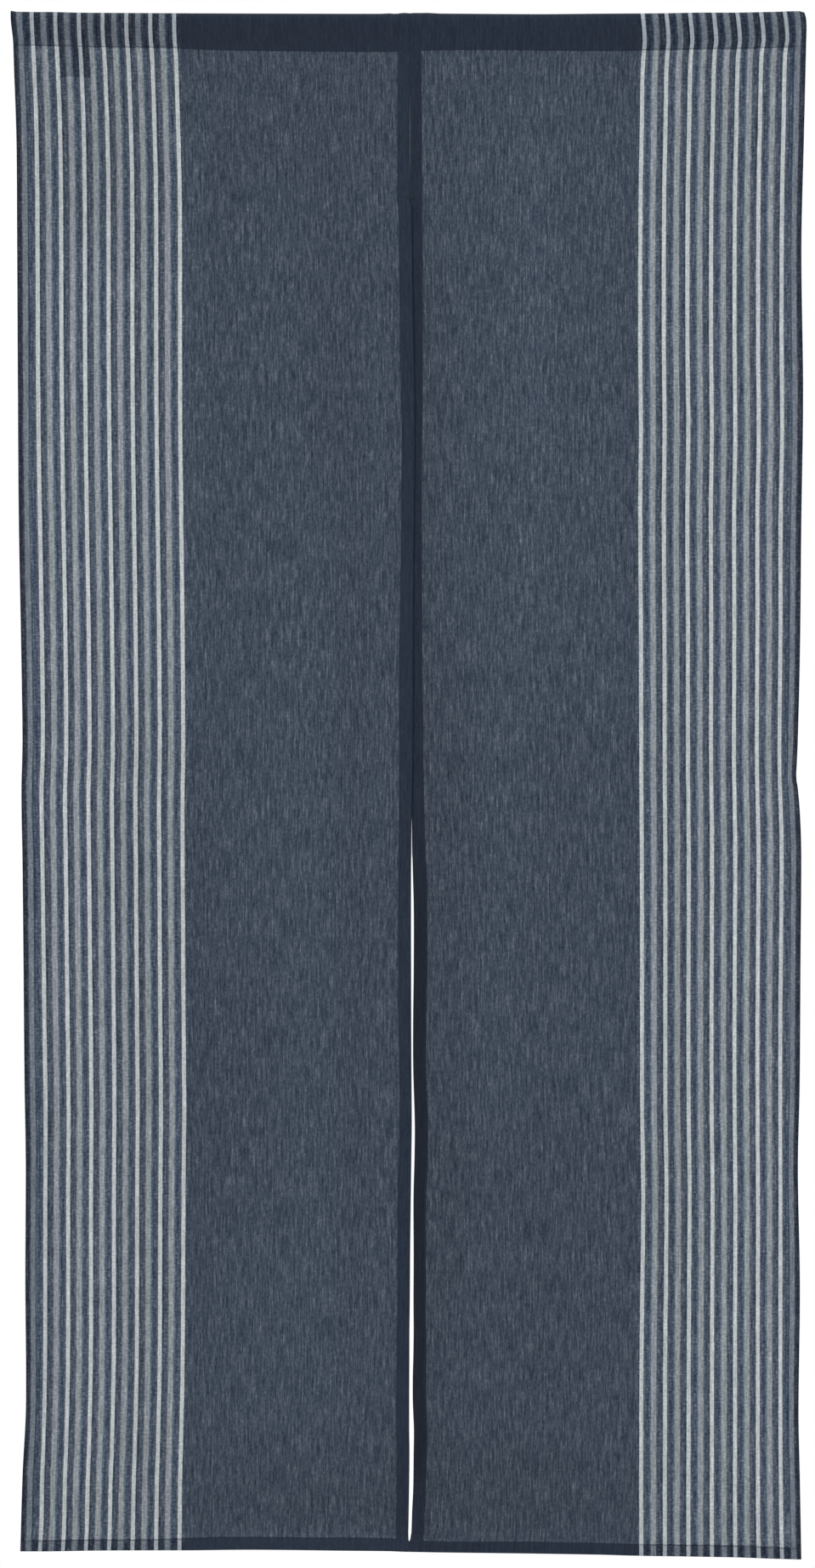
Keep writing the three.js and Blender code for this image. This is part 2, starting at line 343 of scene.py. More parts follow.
def column(rows: tuple[NamedTuple, ...], along: str, name: str) -> SmoothCurve:
    """Smooth curve, in metres, through one column of a table in millimetres.

    Args:
        rows: The table.
        along: Name of the column that gives the positions.
        name: Name of the column that gives the values.

    Returns:
        The curve.
    """
    positions = [getattr(row, along) * MM for row in rows]
    values = [getattr(row, name) * MM for row in rows]
    return SmoothCurve(positions, values)


def mix(low: float, high: float, part: float) -> float:
    """Value a part of the way from low to high."""
    return low + (high - low) * part


def smoothstep(value: float, start: float, end: float) -> float:
    """Rises smoothly from 0 at start to 1 at end."""
    part = min(max((value - start) / (end - start), 0.0), 1.0)
    return part * part * (3 - 2 * part)


def fall(value: float, start: float, end: float) -> float:
    """Falls smoothly from 1 at start to 0 at end."""
    return 1 - smoothstep(value, start, end)


def bell(value: float, middle: float, width: float) -> float:
    """1 at the middle, falling smoothly away on both sides."""
    return math.exp(-(((value - middle) / width) ** 2))


@dataclass(frozen=True)
class PanelSizes:
    """Sizes that both panels share, in metres."""

    length: float = 1.700
    width: float = 0.436
    cloth_thickness: float = 0.0004
    front_inset: float = 0.0002
    solid_thickness: float = 0.001
    layer_gap: float = 0.0006
    outer_hem: float = 0.0130
    left_middle_hem: float = 0.0145
    right_middle_hem: float = 0.0138
    bottom_hem: float = 0.0135
    white_inset: float = 0.0220
    stripe_band: float = 0.1548
    sewn_drop: float = 0.204
    overlap_start: float = 0.198
    overlap_drop: float = 0.214
    stitch_drop: float = 0.038
    flap_drop: float = 0.041
    seam_fade: float = 0.070
    hem_fade: float = 0.050
    pocket_radius: float = 0.0075
    fold_fade: float = 0.130
    middle_fade: float = 0.060
    overlap_easing: float = 0.905
    overlap_end: float = 0.985
    overlap_forward: float = 0.0008
    overlap_back: float = 0.0010
    overlap_reach: float = 0.070
    bump_fade: float = 0.012
    left_ear: float = 0.0008
    right_round: float = 0.0013
    corner_reach: float = 0.0045
    gather_reach: float = 0.020
    pucker_reach: float = 0.012


SIZES = PanelSizes()


def shown_between(drop: float, start: float, end: float) -> float:
    """1 between two drops given in millimetres, fading in and out inside them.

    Args:
        drop: Distance down from the top edge, in metres.
        start: Where it begins to show.
        end: Where it has faded away.

    Returns:
        How much it shows.
    """
    fading_in = smoothstep(drop, start * MM, start * MM + SIZES.fold_fade)
    return fading_in * fall(drop, end * MM - SIZES.fold_fade, end * MM)


class SectionStep(NamedTuple):
    """One step of the cloth's way down the curtain, in metres.

    The depth is below the top edge, the normal points to the wrong side of the cloth, and the
    length is measured along the cloth from the top of the panel's flat part.
    """

    depth: float
    y: float
    normal_y: float
    normal_z: float
    length: float


class Drape:
    """Where a panel's cloth lies, on the folds of its solid."""

    def __init__(self, side: Side) -> None:
        """Reads the side's columns from the tables.

        Args:
            side: Which panel.
        """
        self.side = side
        name = side.name.lower()
        self.outer_edge = column(OUTER_EDGES, "drop", name)
        self.middle_edge = column(MIDDLE_EDGES, "drop", name)
        self.outer_white = column(STRIPES, "drop", f"{name}_outer")
        self.inner_white = column(STRIPES, "drop", f"{name}_inner")
        self.top_edge = column(TOP_EDGE, "x", "rise")
        self.top_bumps = column(TOP_BUMPS, "x", "rise")
        self.bottom_edge = column(BOTTOM_EDGE, "x", "rise")
        self.pocket_seam = column(POCKET_SEAM, "x", "rise")
        self.bottom_seam = column(BOTTOM_SEAM, "x", "rise")
        self.bow = column(STRIPES, "drop", f"{name}_bow")
        self.middle_hem = column(HEMS, "drop", name)
        is_left = side is Side.LEFT
        self.step_away = -SIZES.overlap_forward if is_left else SIZES.overlap_back

    def x(self, inward: float, drop: float) -> float:
        """The stripes hold the cloth's places between the two edges.

        Args:
            inward: Distance in from the outer edge, along the cloth.
            drop: Distance down from the top edge.

        Returns:
            The x of that place.
        """
        inner_inset = SIZES.white_inset + SIZES.stripe_band
        if inward < SIZES.white_inset:
            part = inward / SIZES.white_inset
            return mix(self.outer_edge.at(drop), self.outer_white.at(drop), part)
        if inward < inner_inset:
            part = (inward - SIZES.white_inset) / SIZES.stripe_band
            outward = self.bow.at(drop) * math.sin(math.pi * part)
            evenly = mix(self.outer_white.at(drop), self.inner_white.at(drop), part)
            return evenly + self.side.value * outward
        part = (inward - inner_inset) / (SIZES.width - inner_inset)
        return mix(self.inner_white.at(drop), self.middle_edge.at(drop), part)

    def bump(self, x: float, drop: float) -> float:
        """The top edge is bumpy over the thick hems, and its outer corners differ.

        Args:
            x: Where across the curtain.
            drop: Distance down from the top edge.

        Returns:
            How far the cloth stands up there.
        """
        near_top = fall(drop, 0.0, SIZES.bump_fade)
        to_edge = abs(self.outer_edge.at(drop) - x)
        corner = SIZES.left_ear if self.side is Side.LEFT else -SIZES.right_round
        near_corner = fall(to_edge, 0.0, SIZES.corner_reach)
        return (self.top_bumps.at(x) + corner * near_corner) * near_top

    def z(self, x: float, drop: float) -> float:
        """Height of a place on the cloth.

        The drop is stretched a little so that the cloth ends on the bottom edge, and the seams of
        the pocket and the bottom hem run a little unevenly.

        Args:
            x: Where across the curtain.
            drop: Distance down from the top edge.

        Returns:
            The z.
        """
        rise = mix(self.top_edge.at(x), self.bottom_edge.at(x), drop / SIZES.length)
        near_seam = smoothstep(drop, SIZES.stitch_drop / 2, SIZES.stitch_drop)
        near_seam *= fall(drop, SIZES.flap_drop, SIZES.seam_fade)
        hem_top = SIZES.length - SIZES.bottom_hem
        near_hem = smoothstep(drop, hem_top - SIZES.hem_fade, hem_top)
        near_hem *= fall(drop, hem_top, SIZES.length)
        seams = self.pocket_seam.at(x) * near_seam + self.bottom_seam.at(x) * near_hem
        return rise + self.bump(x, drop) + seams - drop

    def overlap_step(self, to_middle: float, drop: float) -> float:
        """Step away from the other panel's hem, where one hangs in front of the other.

        Args:
            to_middle: Distance from the middle edge, along the cloth.
            drop: Distance down from the top edge.

        Returns:
            How far back the cloth steps there.
        """
        shown = smoothstep(drop, SIZES.overlap_start, SIZES.overlap_drop)
        shown *= fall(drop, SIZES.overlap_easing, SIZES.overlap_end)
        return self.step_away * shown * fall(to_middle, SIZES.outer_hem, SIZES.overlap_reach)

    def pucker(self, inward: float, drop: float) -> float:
        """Small puckers beside the sewing and a slow ripple over the whole cloth.

        Args:
            inward: Distance in from the outer edge.
            drop: Distance down from the top edge.

        Returns:
            How far the cloth stands forward of its folds there.
        """
        below_stitches = max(drop - SIZES.stitch_drop, 0.0)
        gathers = sum(ripple.at(inward, drop) for ripple in GATHERS)
        puckers = gathers * math.exp(-below_stitches / SIZES.gather_reach)
        to_middle = SIZES.width - inward
        for distance, ripples in ((inward, OUTER_PUCKERS), (to_middle, MIDDLE_PUCKERS)):
            beyond_hem = max(distance - SIZES.outer_hem, 0.0)
            height = sum(ripple.at(inward, drop) for ripple in ripples)
            puckers += height * math.exp(-beyond_hem / SIZES.pucker_reach)
        slow = SLOW_RIPPLE.at(inward, drop) * SLOW_SWELL.at(inward, drop)
        slow += SLANTING_RIPPLE.at(inward, drop, self.side.value)
        return puckers + slow * smoothstep(drop, SIZES.flap_drop, SIZES.fold_fade)

    def y(self, inward: float, drop: float) -> float:
        """Middle of the front layer, forward or back of the plane through the rod pocket.

        Args:
            inward: Distance in from the outer edge.
            drop: Distance down from the top edge.

        Returns:
            The y of that place.
        """
        x = self.x(inward, drop)
        to_middle = SIZES.width - inward
        settled = smoothstep(to_middle, 0.0, SIZES.middle_fade)
        y = -SIZES.solid_thickness + SIZES.front_inset
        for fold in FOLDS:
            middle = (fold.x + fold.lean * drop / SIZES.length) * MM
            height = fold.forward * MM * bell(x, middle, fold.width * MM)
            y -= height * shown_between(drop, fold.start, fold.end) * settled
        for crease in CREASES:
            near = max(1 - abs(drop - crease.drop * MM) / (crease.reach * MM), 0.0)
            y += crease.back * MM * near * near * settled
        y += self.overlap_step(to_middle, drop)
        return y - self.pucker(inward, drop) * smoothstep(drop, SIZES.stitch_drop, SIZES.flap_drop)

    def place(self, inward: float, drop: float, behind: float = 0.0) -> Vector:
        """Point of the panel's front layer, or of a layer behind it.

        Args:
            inward: Distance in from the outer edge.
            drop: Distance down from the top edge.
            behind: How far behind the front layer.

        Returns:
            The point.
        """
        x = self.x(inward, drop)
        return Vector((x, self.y(inward, drop) + behind, self.z(x, drop)))


class AcrossStep(NamedTuple):
    """One step of the cloth's way across a panel, in metres.

    The inward distance gives its place, behind says which layer of the side hems it is in, and
    the width is measured along the flat cloth from the outer edge's fold.
    """

    inward: float
    behind: float
    width: float


def even_steps(start: float, end: float, count: int) -> list[float]:
    """Count + 1 evenly spaced values from start to end."""
    return [mix(start, end, part / count) for part in range(count + 1)]


@dataclass(frozen=True)
class PaintedHemShades:
    """Painted light and shade of the hems beside plain doubled cloth, about 1, and where that
    changes.
    """

    left_middle: float = 1.09
    right_middle: float = 0.92
    right_middle_low: float = 0.57
    low_start: float = 0.850
    low_full: float = 1.050
    low_ease: float = 1.580
    low_end: float = 1.660
    outer_hem: float = 1.07
    outer_fold: float = 0.76
    left_bottom_field: float = 1.10
    right_bottom_field: float = 0.95
    bottom_stripes: float = 0.89
    field_start: float = 0.181
    field_ease: float = 0.002
    seam_ease: float = 0.001
    pocket_ease: float = 0.010
    fold_start: float = 0.0012
    fold_end: float = 0.0050

    def middle_hem(self, side: Side, drop: float) -> float:
        """Painted light of the left hem and painted shade of the right hem at the middle of the
        curtain.

        Args:
            side: Which panel's hem.
            drop: Distance down from the top edge.

        Returns:
            The tone.
        """
        if side is Side.LEFT:
            return self.left_middle
        low = smoothstep(drop, self.low_start, self.low_full)
        low *= fall(drop, self.low_ease, self.low_end)
        return mix(self.right_middle, self.right_middle_low, low)


class ClothRow(NamedTuple):
    """One row of the cloth: its drop, its length along the cloth, and what places its points."""

    drop: float
    length: float
    place: Callable[[AcrossStep], Vector]


@dataclass
class ClothPanel:
    """One panel: a single cut length of cloth with its hems and rod pocket turned to the back."""

    side: Side
    painted_shades: PaintedHemShades = PaintedHemShades()
    across_count: int = 98
    down_step: float = 0.0075
    fold_turns: int = 4
    flap_count: int = 4
    wall_count: int = 5
    arc_count: int = 12
    hem_count: int = 3
    bottom_count: int = 5
    beside_fold: float = 0.0012
    over_bottom_fold: float = 0.0009
    flap_stack: float = 0.4
    top_stack: float = 0.6
    bolt_offset: float = 2.0
    corner_ease: float = 0.020
    smooth_angle: float = math.radians(60)

    def __post_init__(self) -> None:
        """Sets the drape that the cloth follows."""
        self.drape = Drape(self.side)

    @property
    def name(self) -> str:
        """Name of the piece."""
        return f"{self.side.name.lower()}_cloth"

    def hem_wander(self, drop: float) -> float:
        """The outer hem is a little uneven in width down the curtain."""
        return LONG_WANDER.at(0.0, drop, self.side.value) + SHORT_WANDER.at(0.0, drop)

    def side_fold(self) -> list[tuple[float, float]]:
        """Inset and depth of each point round a side fold, from the front to the back.

        Returns:
            The distance in from the fold's edge and behind the front layer, for each point.
        """
        radius = SIZES.layer_gap / 2
        found = []
        for turn in even_steps(0.0, math.pi, self.fold_turns)[1:-1]:
            found.append((radius - radius * math.sin(turn), radius - radius * math.cos(turn)))
        return found

    def across_steps(self, drop: float) -> list[AcrossStep]:
        """The way across: outer hem flap, its fold, the front, the middle fold and its flap.

        Args:
            drop: Distance down from the top edge.

        Returns:
            The steps, as many at every drop.
        """
        gap = SIZES.layer_gap
        radius = gap / 2
        fold = self.side_fold()
        outer_hem = SIZES.outer_hem + self.hem_wander(drop)
        middle_hem = self.drape.middle_hem.at(drop)
        middle_seam = SIZES.width - middle_hem
        steps = [AcrossStep(at, gap, -at) for at in even_steps(outer_hem, radius, self.flap_count)]
        steps += [AcrossStep(inset, behind, inset - radius) for inset, behind in reversed(fold)]
        front = [radius] + even_steps(self.beside_fold, outer_hem - gap, self.hem_count)
        front += even_steps(outer_hem + gap, middle_seam - gap, self.across_count)
        front += even_steps(middle_seam + gap, SIZES.width - self.beside_fold, self.hem_count)
        front.append(SIZES.width - radius)
        steps += [AcrossStep(at, 0.0, at) for at in front]
        for inset, behind in fold:
            steps.append(AcrossStep(SIZES.width - inset, behind, SIZES.width + radius - inset))
        for at in even_steps(radius, middle_hem, self.flap_count):
            steps.append(AcrossStep(SIZES.width - at, gap, SIZES.width + at))
        return steps

    def pocket_steps(self) -> list[SectionStep]:
        """The way up the back flap, over the round top and down the front to the stitch line.

        Returns:
            The steps, from the flap's cut edge to just under the stitches.
        """
        half = SIZES.solid_thickness - SIZES.front_inset
        radius = SIZES.pocket_radius - SIZES.front_inset
        axis_depth = SIZES.pocket_radius
        below_axis = SIZES.stitch_drop - axis_depth
        reach = math.hypot(half, below_axis)
        tangent = math.acos(radius / reach) - math.atan2(below_axis, half)
        away = Vector((math.cos(tangent), math.sin(tangent)))
        leave = Vector((radius * away.x, axis_depth - radius * away.y))
        stitch = Vector((half, SIZES.stitch_drop))
        back: list[tuple[Vector, Vector]] = [
            (Vector((half, SIZES.flap_drop)), Vector((-1.0, 0.0))),
        ]
        for part in even_steps(0.0, 1.0, self.wall_count)[:-1]:
            back.append((stitch.lerp(leave, part), -away))
        arc: list[tuple[Vector, Vector]] = []
        for angle in even_steps(tangent, math.pi - tangent, self.arc_count):
            outward = Vector((math.cos(angle), math.sin(angle)))
            arc.append((Vector((radius * outward.x, axis_depth - radius * outward.y)), -outward))
        front = [
            (Vector((-at.x, at.y)), Vector((-normal.x, normal.y))) for at, normal in reversed(back)
        ]
        points = back + arc + front
        lengths = [SIZES.flap_drop]
        for (here, _), (after, _) in zip(reversed(points[:-1]), reversed(points[1:])):
            lengths.append(lengths[-1] - (after - here).length)
        lengths.reverse()
        steps = []
        for (at, normal), length in zip(points, lengths):
            steps.append(SectionStep(at.y, at.x, normal.x, normal.y, length))
        return steps

    def down_drops(self) -> list[float]:
        """Drops of the rows between the stitch line and the bottom fold.

        Returns:
            The drops, from the top down.
        """
        hem_top = SIZES.length - SIZES.bottom_hem
        count = round((hem_top - SIZES.flap_drop) / self.down_step)
        above_hem = even_steps(SIZES.flap_drop, hem_top, count)[1:]
        fold_start = SIZES.length - self.over_bottom_fold
        return above_hem + even_steps(hem_top, fold_start, self.bottom_count)[1:]

    def corner(self, inward: float) -> float:
        """1 in the side hems, easing to 0 a little further in."""
        to_side = min(inward, SIZES.width - inward)
        return fall(to_side, SIZES.outer_hem, SIZES.outer_hem + self.corner_ease)

    def pocket_point(self, step: SectionStep, across: AcrossStep) -> Vector:
        """Point of the rod pocket's cloth.

        Args:
            step: Where down the section.
            across: Where across the panel.

        Returns:
            The point.
        """
        is_flap = step.y > 0
        stack = SIZES.layer_gap * self.corner(across.inward)
        near_stitches = smoothstep(step.depth, SIZES.stitch_drop / 2, SIZES.stitch_drop)
        y = step.y + across.behind * step.normal_y
        if is_flap:
            y += stack * near_stitches * self.flap_stack
        lift = stack * self.top_stack * max(-step.normal_z, 0.0)
        depth = step.depth - across.behind * step.normal_z - lift
        puckered = 0.0 if is_flap else self.drape.pucker(across.inward, SIZES.stitch_drop)
        x = self.drape.x(across.inward, depth)
        return Vector((x, y - puckered * near_stitches, self.drape.z(x, depth)))

    def flat_point(self, drop: float, across: AcrossStep) -> Vector:
        """Point of the cloth between the pocket and the bottom fold."""
        return self.drape.place(across.inward, drop, across.behind)

    def bottom_point(self, turn: float, up: float, across: AcrossStep) -> Vector:
        """Point of the bottom hem's fold or flap.

        Args:
            turn: How far round the fold, from 0 at the front to pi at the back.
            up: How far the flap has come up behind the front, past the fold.
            across: Where across the panel.

        Returns:
            The point.
        """
        corner = self.corner(across.inward)
        axis_behind = SIZES.layer_gap / 2 + SIZES.layer_gap * corner
        radius = axis_behind - across.behind
        drop = SIZES.length - axis_behind + radius * math.sin(turn) - up
        behind = axis_behind - radius * math.cos(turn)
        return self.drape.place(across.inward, drop, behind)

    def tone(self, inward: float, drop: float) -> float:
        """Painted light and shade of the cloth, as light from behind it and its doubled layers
        change how light it shows.

        Args:
            inward: Distance in from the outer edge.
            drop: Distance down from the top edge.

        Returns:
            The brightness, about 1.
        """
        x = self.drape.x(inward, drop)
        tone = 1.0
        for band in PAINTED_LIGHT_BANDS:
            gain = band.gain * bell(x, band.x * MM, band.width * MM)
            tone += gain * shown_between(drop, band.start, band.end)
        look = self.painted_shades
        is_left = self.side is Side.LEFT
        hem = self.drape.middle_hem.at(drop)
        hem_top = SIZES.length - SIZES.bottom_hem
        to_middle = SIZES.width - inward
        in_stripes = fall(inward, look.field_start, look.field_start + look.field_ease)
        in_middle_hem = fall(to_middle, hem - SIZES.layer_gap, hem + SIZES.layer_gap)
        in_outer_hem = fall(inward, SIZES.outer_hem, SIZES.outer_hem + look.seam_ease)
        below_pocket = smoothstep(drop, SIZES.flap_drop, SIZES.flap_drop + look.pocket_ease)
        in_bottom = smoothstep(drop, hem_top - look.seam_ease, hem_top)
        on_fold = fall(inward, look.fold_start, look.fold_end)
        # Painted light and shade: the hems lighter or darker, the outer fold darker, and the bottom
        # hem lighter or darker than doubled cloth
        tone *= mix(1.0, look.middle_hem(self.side, drop), in_middle_hem * below_pocket)
        tone *= mix(1.0, look.outer_hem, in_outer_hem * below_pocket)
        in_field = look.left_bottom_field if is_left else look.right_bottom_field
        bottom = mix(in_field, look.bottom_stripes, in_stripes)
        return mix(tone, bottom, in_bottom) * mix(1.0, look.outer_fold, on_fold)

    def rows(self) -> list[ClothRow]:
        """Every row of the cloth, from the pocket flap's edge to the bottom hem's.

        Returns:
            The rows.
        """
        found = []
        for step in self.pocket_steps():
            place = partial(self.pocket_point, step)
            found.append(ClothRow(step.depth, step.length, place))
        for drop in self.down_drops():
            place = partial(self.flat_point, drop)
            found.append(ClothRow(drop, drop, place))
        half_gap = SIZES.layer_gap / 2
        for part in even_steps(0.0, 1.0, self.fold_turns)[1:]:
            place = partial(self.bottom_point, math.pi * part, 0.0)
            length = mix(SIZES.length - half_gap, SIZES.length + half_gap, part)
            found.append(ClothRow(SIZES.length, length, place))
        for up in even_steps(0.0, SIZES.bottom_hem, self.flap_count)[1:]:
            place = partial(self.bottom_point, math.pi, up)
            found.append(ClothRow(SIZES.length - up, SIZES.length + up, place))
        return found

    def build(self) -> bpy.types.Object:
        """Makes the cloth with its two UV maps, one for the pattern and one for the hems.

        Returns:
            The piece.
        """
        points: list[Vector] = []
        pattern: list[tuple[float, float]] = []
        layers: list[tuple[float, float]] = []
        painted_shades: list[float] = []
        bolt = self.bolt_offset if self.side is Side.RIGHT else 0.0
        rows = self.rows()
        columns = len(self.across_steps(0.0))
        for drop, length, place in rows:
            outer_hem = SIZES.outer_hem + self.hem_wander(drop)
            middle_hem = self.drape.middle_hem.at(drop)
            into_single = min(drop - SIZES.flap_drop, SIZES.length - SIZES.bottom_hem - drop)
            from_end = 1 + into_single / SIZES.bottom_hem
            steps = self.across_steps(drop)
            for step in steps:
                points.append(place(step))
                pattern.append((step.width, length + bolt))
                from_side = min(step.inward / outer_hem, (SIZES.width - step.inward) / middle_hem)
                layers.append((from_side, from_end))
                painted_shades.append(self.tone(step.inward, drop))
        faces = []
        for row in range(len(rows) - 1):
            for index in range(columns - 1):
                corner = row * columns + index
                faces.append((corner, corner + 1, corner + columns + 1, corner + columns))
        mesh = bpy.data.meshes.new(self.name)
        mesh.from_pydata(points, [], faces)
        for map_name, values in ((PATTERN_MAP, pattern), (LAYER_MAP, layers)):
            uv_map = mesh.uv_layers.new(name=map_name)
            for loop in mesh.loops:
                uv_map.data[loop.index].uv = values[loop.vertex_index]
        tone = mesh.attributes.new(PAINTED_LIGHT, "FLOAT", "POINT")
        tone.data.foreach_set("value", painted_shades)
        piece = bpy.data.objects.new(self.name, mesh)
        bpy.context.collection.objects.link(piece)
        return piece

    def dress(self, piece: bpy.types.Object, cloth: bpy.types.Material) -> None:
        """Gives the cloth its thickness, smooth shading, material and place in the frame.

        Args:
            piece: The cloth.
            cloth: Its material.
        """
        thicken(piece, SIZES.cloth_thickness)
        smooth(piece, self.smooth_angle)
        piece.data.materials.append(cloth)
        name = self.side.name.lower()
        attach(piece, BODY)
        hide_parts(f"{name}_panel", f"{name}_pocket")

    def flat_size(self) -> tuple[float, float]:
        """Width and length that the panel was cut to.

        Returns:
            The two, in metres.
        """
        is_left = self.side is Side.LEFT
        middle_hem = SIZES.left_middle_hem if is_left else SIZES.right_middle_hem
        width = SIZES.width + SIZES.outer_hem + middle_hem
        steps = self.pocket_steps()
        turned_back = steps[-1].length - steps[0].length - SIZES.flap_drop
        return width, SIZES.length + turned_back + SIZES.bottom_hem


def select_only(piece: bpy.types.Object) -> None:
    """Selects one piece and makes it active.

    Args:
        piece: The piece.
    """
    bpy.ops.object.select_all(action="DESELECT")
    piece.select_set(True)
    bpy.context.view_layer.objects.active = piece


def apply_modifiers(piece: bpy.types.Object) -> None:
    """Applies every modifier of a piece, in order.

    Args:
        piece: The piece.
    """
    select_only(piece)
    for modifier in list(piece.modifiers):
        bpy.ops.object.modifier_apply(modifier=modifier.name)


def thicken(piece: bpy.types.Object, thickness: float) -> None:
    """Gives a sheet its thickness, half to each side.

    Args:
        piece: The sheet.
        thickness: Its thickness.
    """
    solidify = piece.modifiers.new("thickness", "SOLIDIFY")
    solidify.thickness = thickness
    solidify.offset = 0.0
    solidify.use_rim = True
    apply_modifiers(piece)


def smooth(piece: bpy.types.Object, angle: float) -> None:
    """Shades a piece smooth up to an angle."""
    select_only(piece)
    bpy.ops.object.shade_smooth_by_angle(angle=angle)


@dataclass
class StitchShape:
    """One stitch, modelled once along X, with its ends drawn down into the cloth."""

    length: float
    radius: float = 0.00017
    sides: int = 6
    cuts: int = 2
    end_part: float = 0.49
    end_size: float = 0.6
    sink: float = 0.00022

    def build(self, name: str) -> bpy.types.Object:
        """Models the stitch with its middle at the origin.

        Args:
            name: Name of the piece that it will grow into.

        Returns:
            The stitch.
        """
        bpy.ops.object.select_all(action="DESELECT")
        bpy.ops.mesh.primitive_cylinder_add(
            vertices=self.sides,
            radius=self.radius,
            depth=self.length,
            end_fill_type="NGON",
            location=(0, 0, 0),
            rotation=(0, math.pi / 2, 0),
        )
        stitch = bpy.context.active_object
        stitch.name = name
        bpy.ops.object.transform_apply(location=True, rotation=True, scale=True)
        bpy.ops.object.mode_set(mode="EDIT")
        bpy.ops.mesh.select_mode(type="EDGE")
        bpy.ops.mesh.select_all(action="DESELECT")
        bpy.ops.object.mode_set(mode="OBJECT")
        mesh = stitch.data
        for edge in mesh.edges:
            ends = [mesh.vertices[index].co for index in edge.vertices]
            edge.select = abs(ends[0].x - ends[1].x) > self.length / 2
        bpy.ops.object.mode_set(mode="EDIT")
        bpy.ops.mesh.subdivide(number_cuts=self.cuts)
        bpy.ops.mesh.select_mode(type="VERT")
        bpy.ops.mesh.select_all(action="DESELECT")
        bpy.ops.object.mode_set(mode="OBJECT")
        for vertex in mesh.vertices:
            vertex.select = abs(vertex.co.x) > self.length * self.end_part
        bpy.ops.object.mode_set(mode="EDIT")
        bpy.ops.transform.resize(value=(1, self.end_size, self.end_size))
        bpy.ops.transform.translate(value=(0, 0, -self.sink))
        bpy.ops.object.mode_set(mode="OBJECT")
        return stitch


@dataclass
class SewingLine:
    """A line of stitches, laid along the cloth.

    The place function gives a point from the distance along the line, the distance to its left
    and the rise off the cloth.
    """

    name: str
    length: float
    place: Callable[[float, float, float], Vector]
    pitch: float = 0.0030
    stitch_part: float = 0.78
    crosswise: bool = False
    slant: float = 0.2
    stitch_length: float = 0.0

    def build(self) -> bpy.types.Object:
        """Models one stitch, repeats it along X and lays the row on the cloth.

        Returns:
            The row of stitches.
        """
        length = self.stitch_length or self.pitch * self.stitch_part
        row = StitchShape(length).build(self.name)
        if self.crosswise:
            for vertex in row.data.vertices:
                along, beside, rise = vertex.co
                vertex.co = (beside + along * self.slant, along, rise)
        count = max(1, math.floor(self.length / self.pitch))
        array = row.modifiers.new("row", "ARRAY")
        array.use_relative_offset = False
        array.use_constant_offset = True
        array.constant_offset_displace = (self.pitch, 0, 0)
        array.count = count
        apply_modifiers(row)
        start = (self.length - (count - 1) * self.pitch) / 2
        for vertex in row.data.vertices:
            along, beside, rise = vertex.co
            vertex.co = self.place(start + along, beside, rise)
        return row


def join(name: str, pieces: list[bpy.types.Object]) -> bpy.types.Object:
    """Joins pieces into one mesh with its normals pointing out, or finishes a single one.

    Args:
        name: Name of the joined piece.
        pieces: What is joined.

    Returns:
        The joined piece.
    """
    joined = pieces[0]
    select_only(joined)
    if len(pieces) > 1:
        for piece in pieces[1:]:
            piece.select_set(True)
        bpy.ops.object.join()
    joined.name = name
    joined.data.name = name
    bpy.ops.object.mode_set(mode="EDIT")
    bpy.ops.mesh.select_all(action="SELECT")
    bpy.ops.mesh.normals_make_consistent(inside=False)
    bpy.ops.object.mode_set(mode="OBJECT")
    return joined


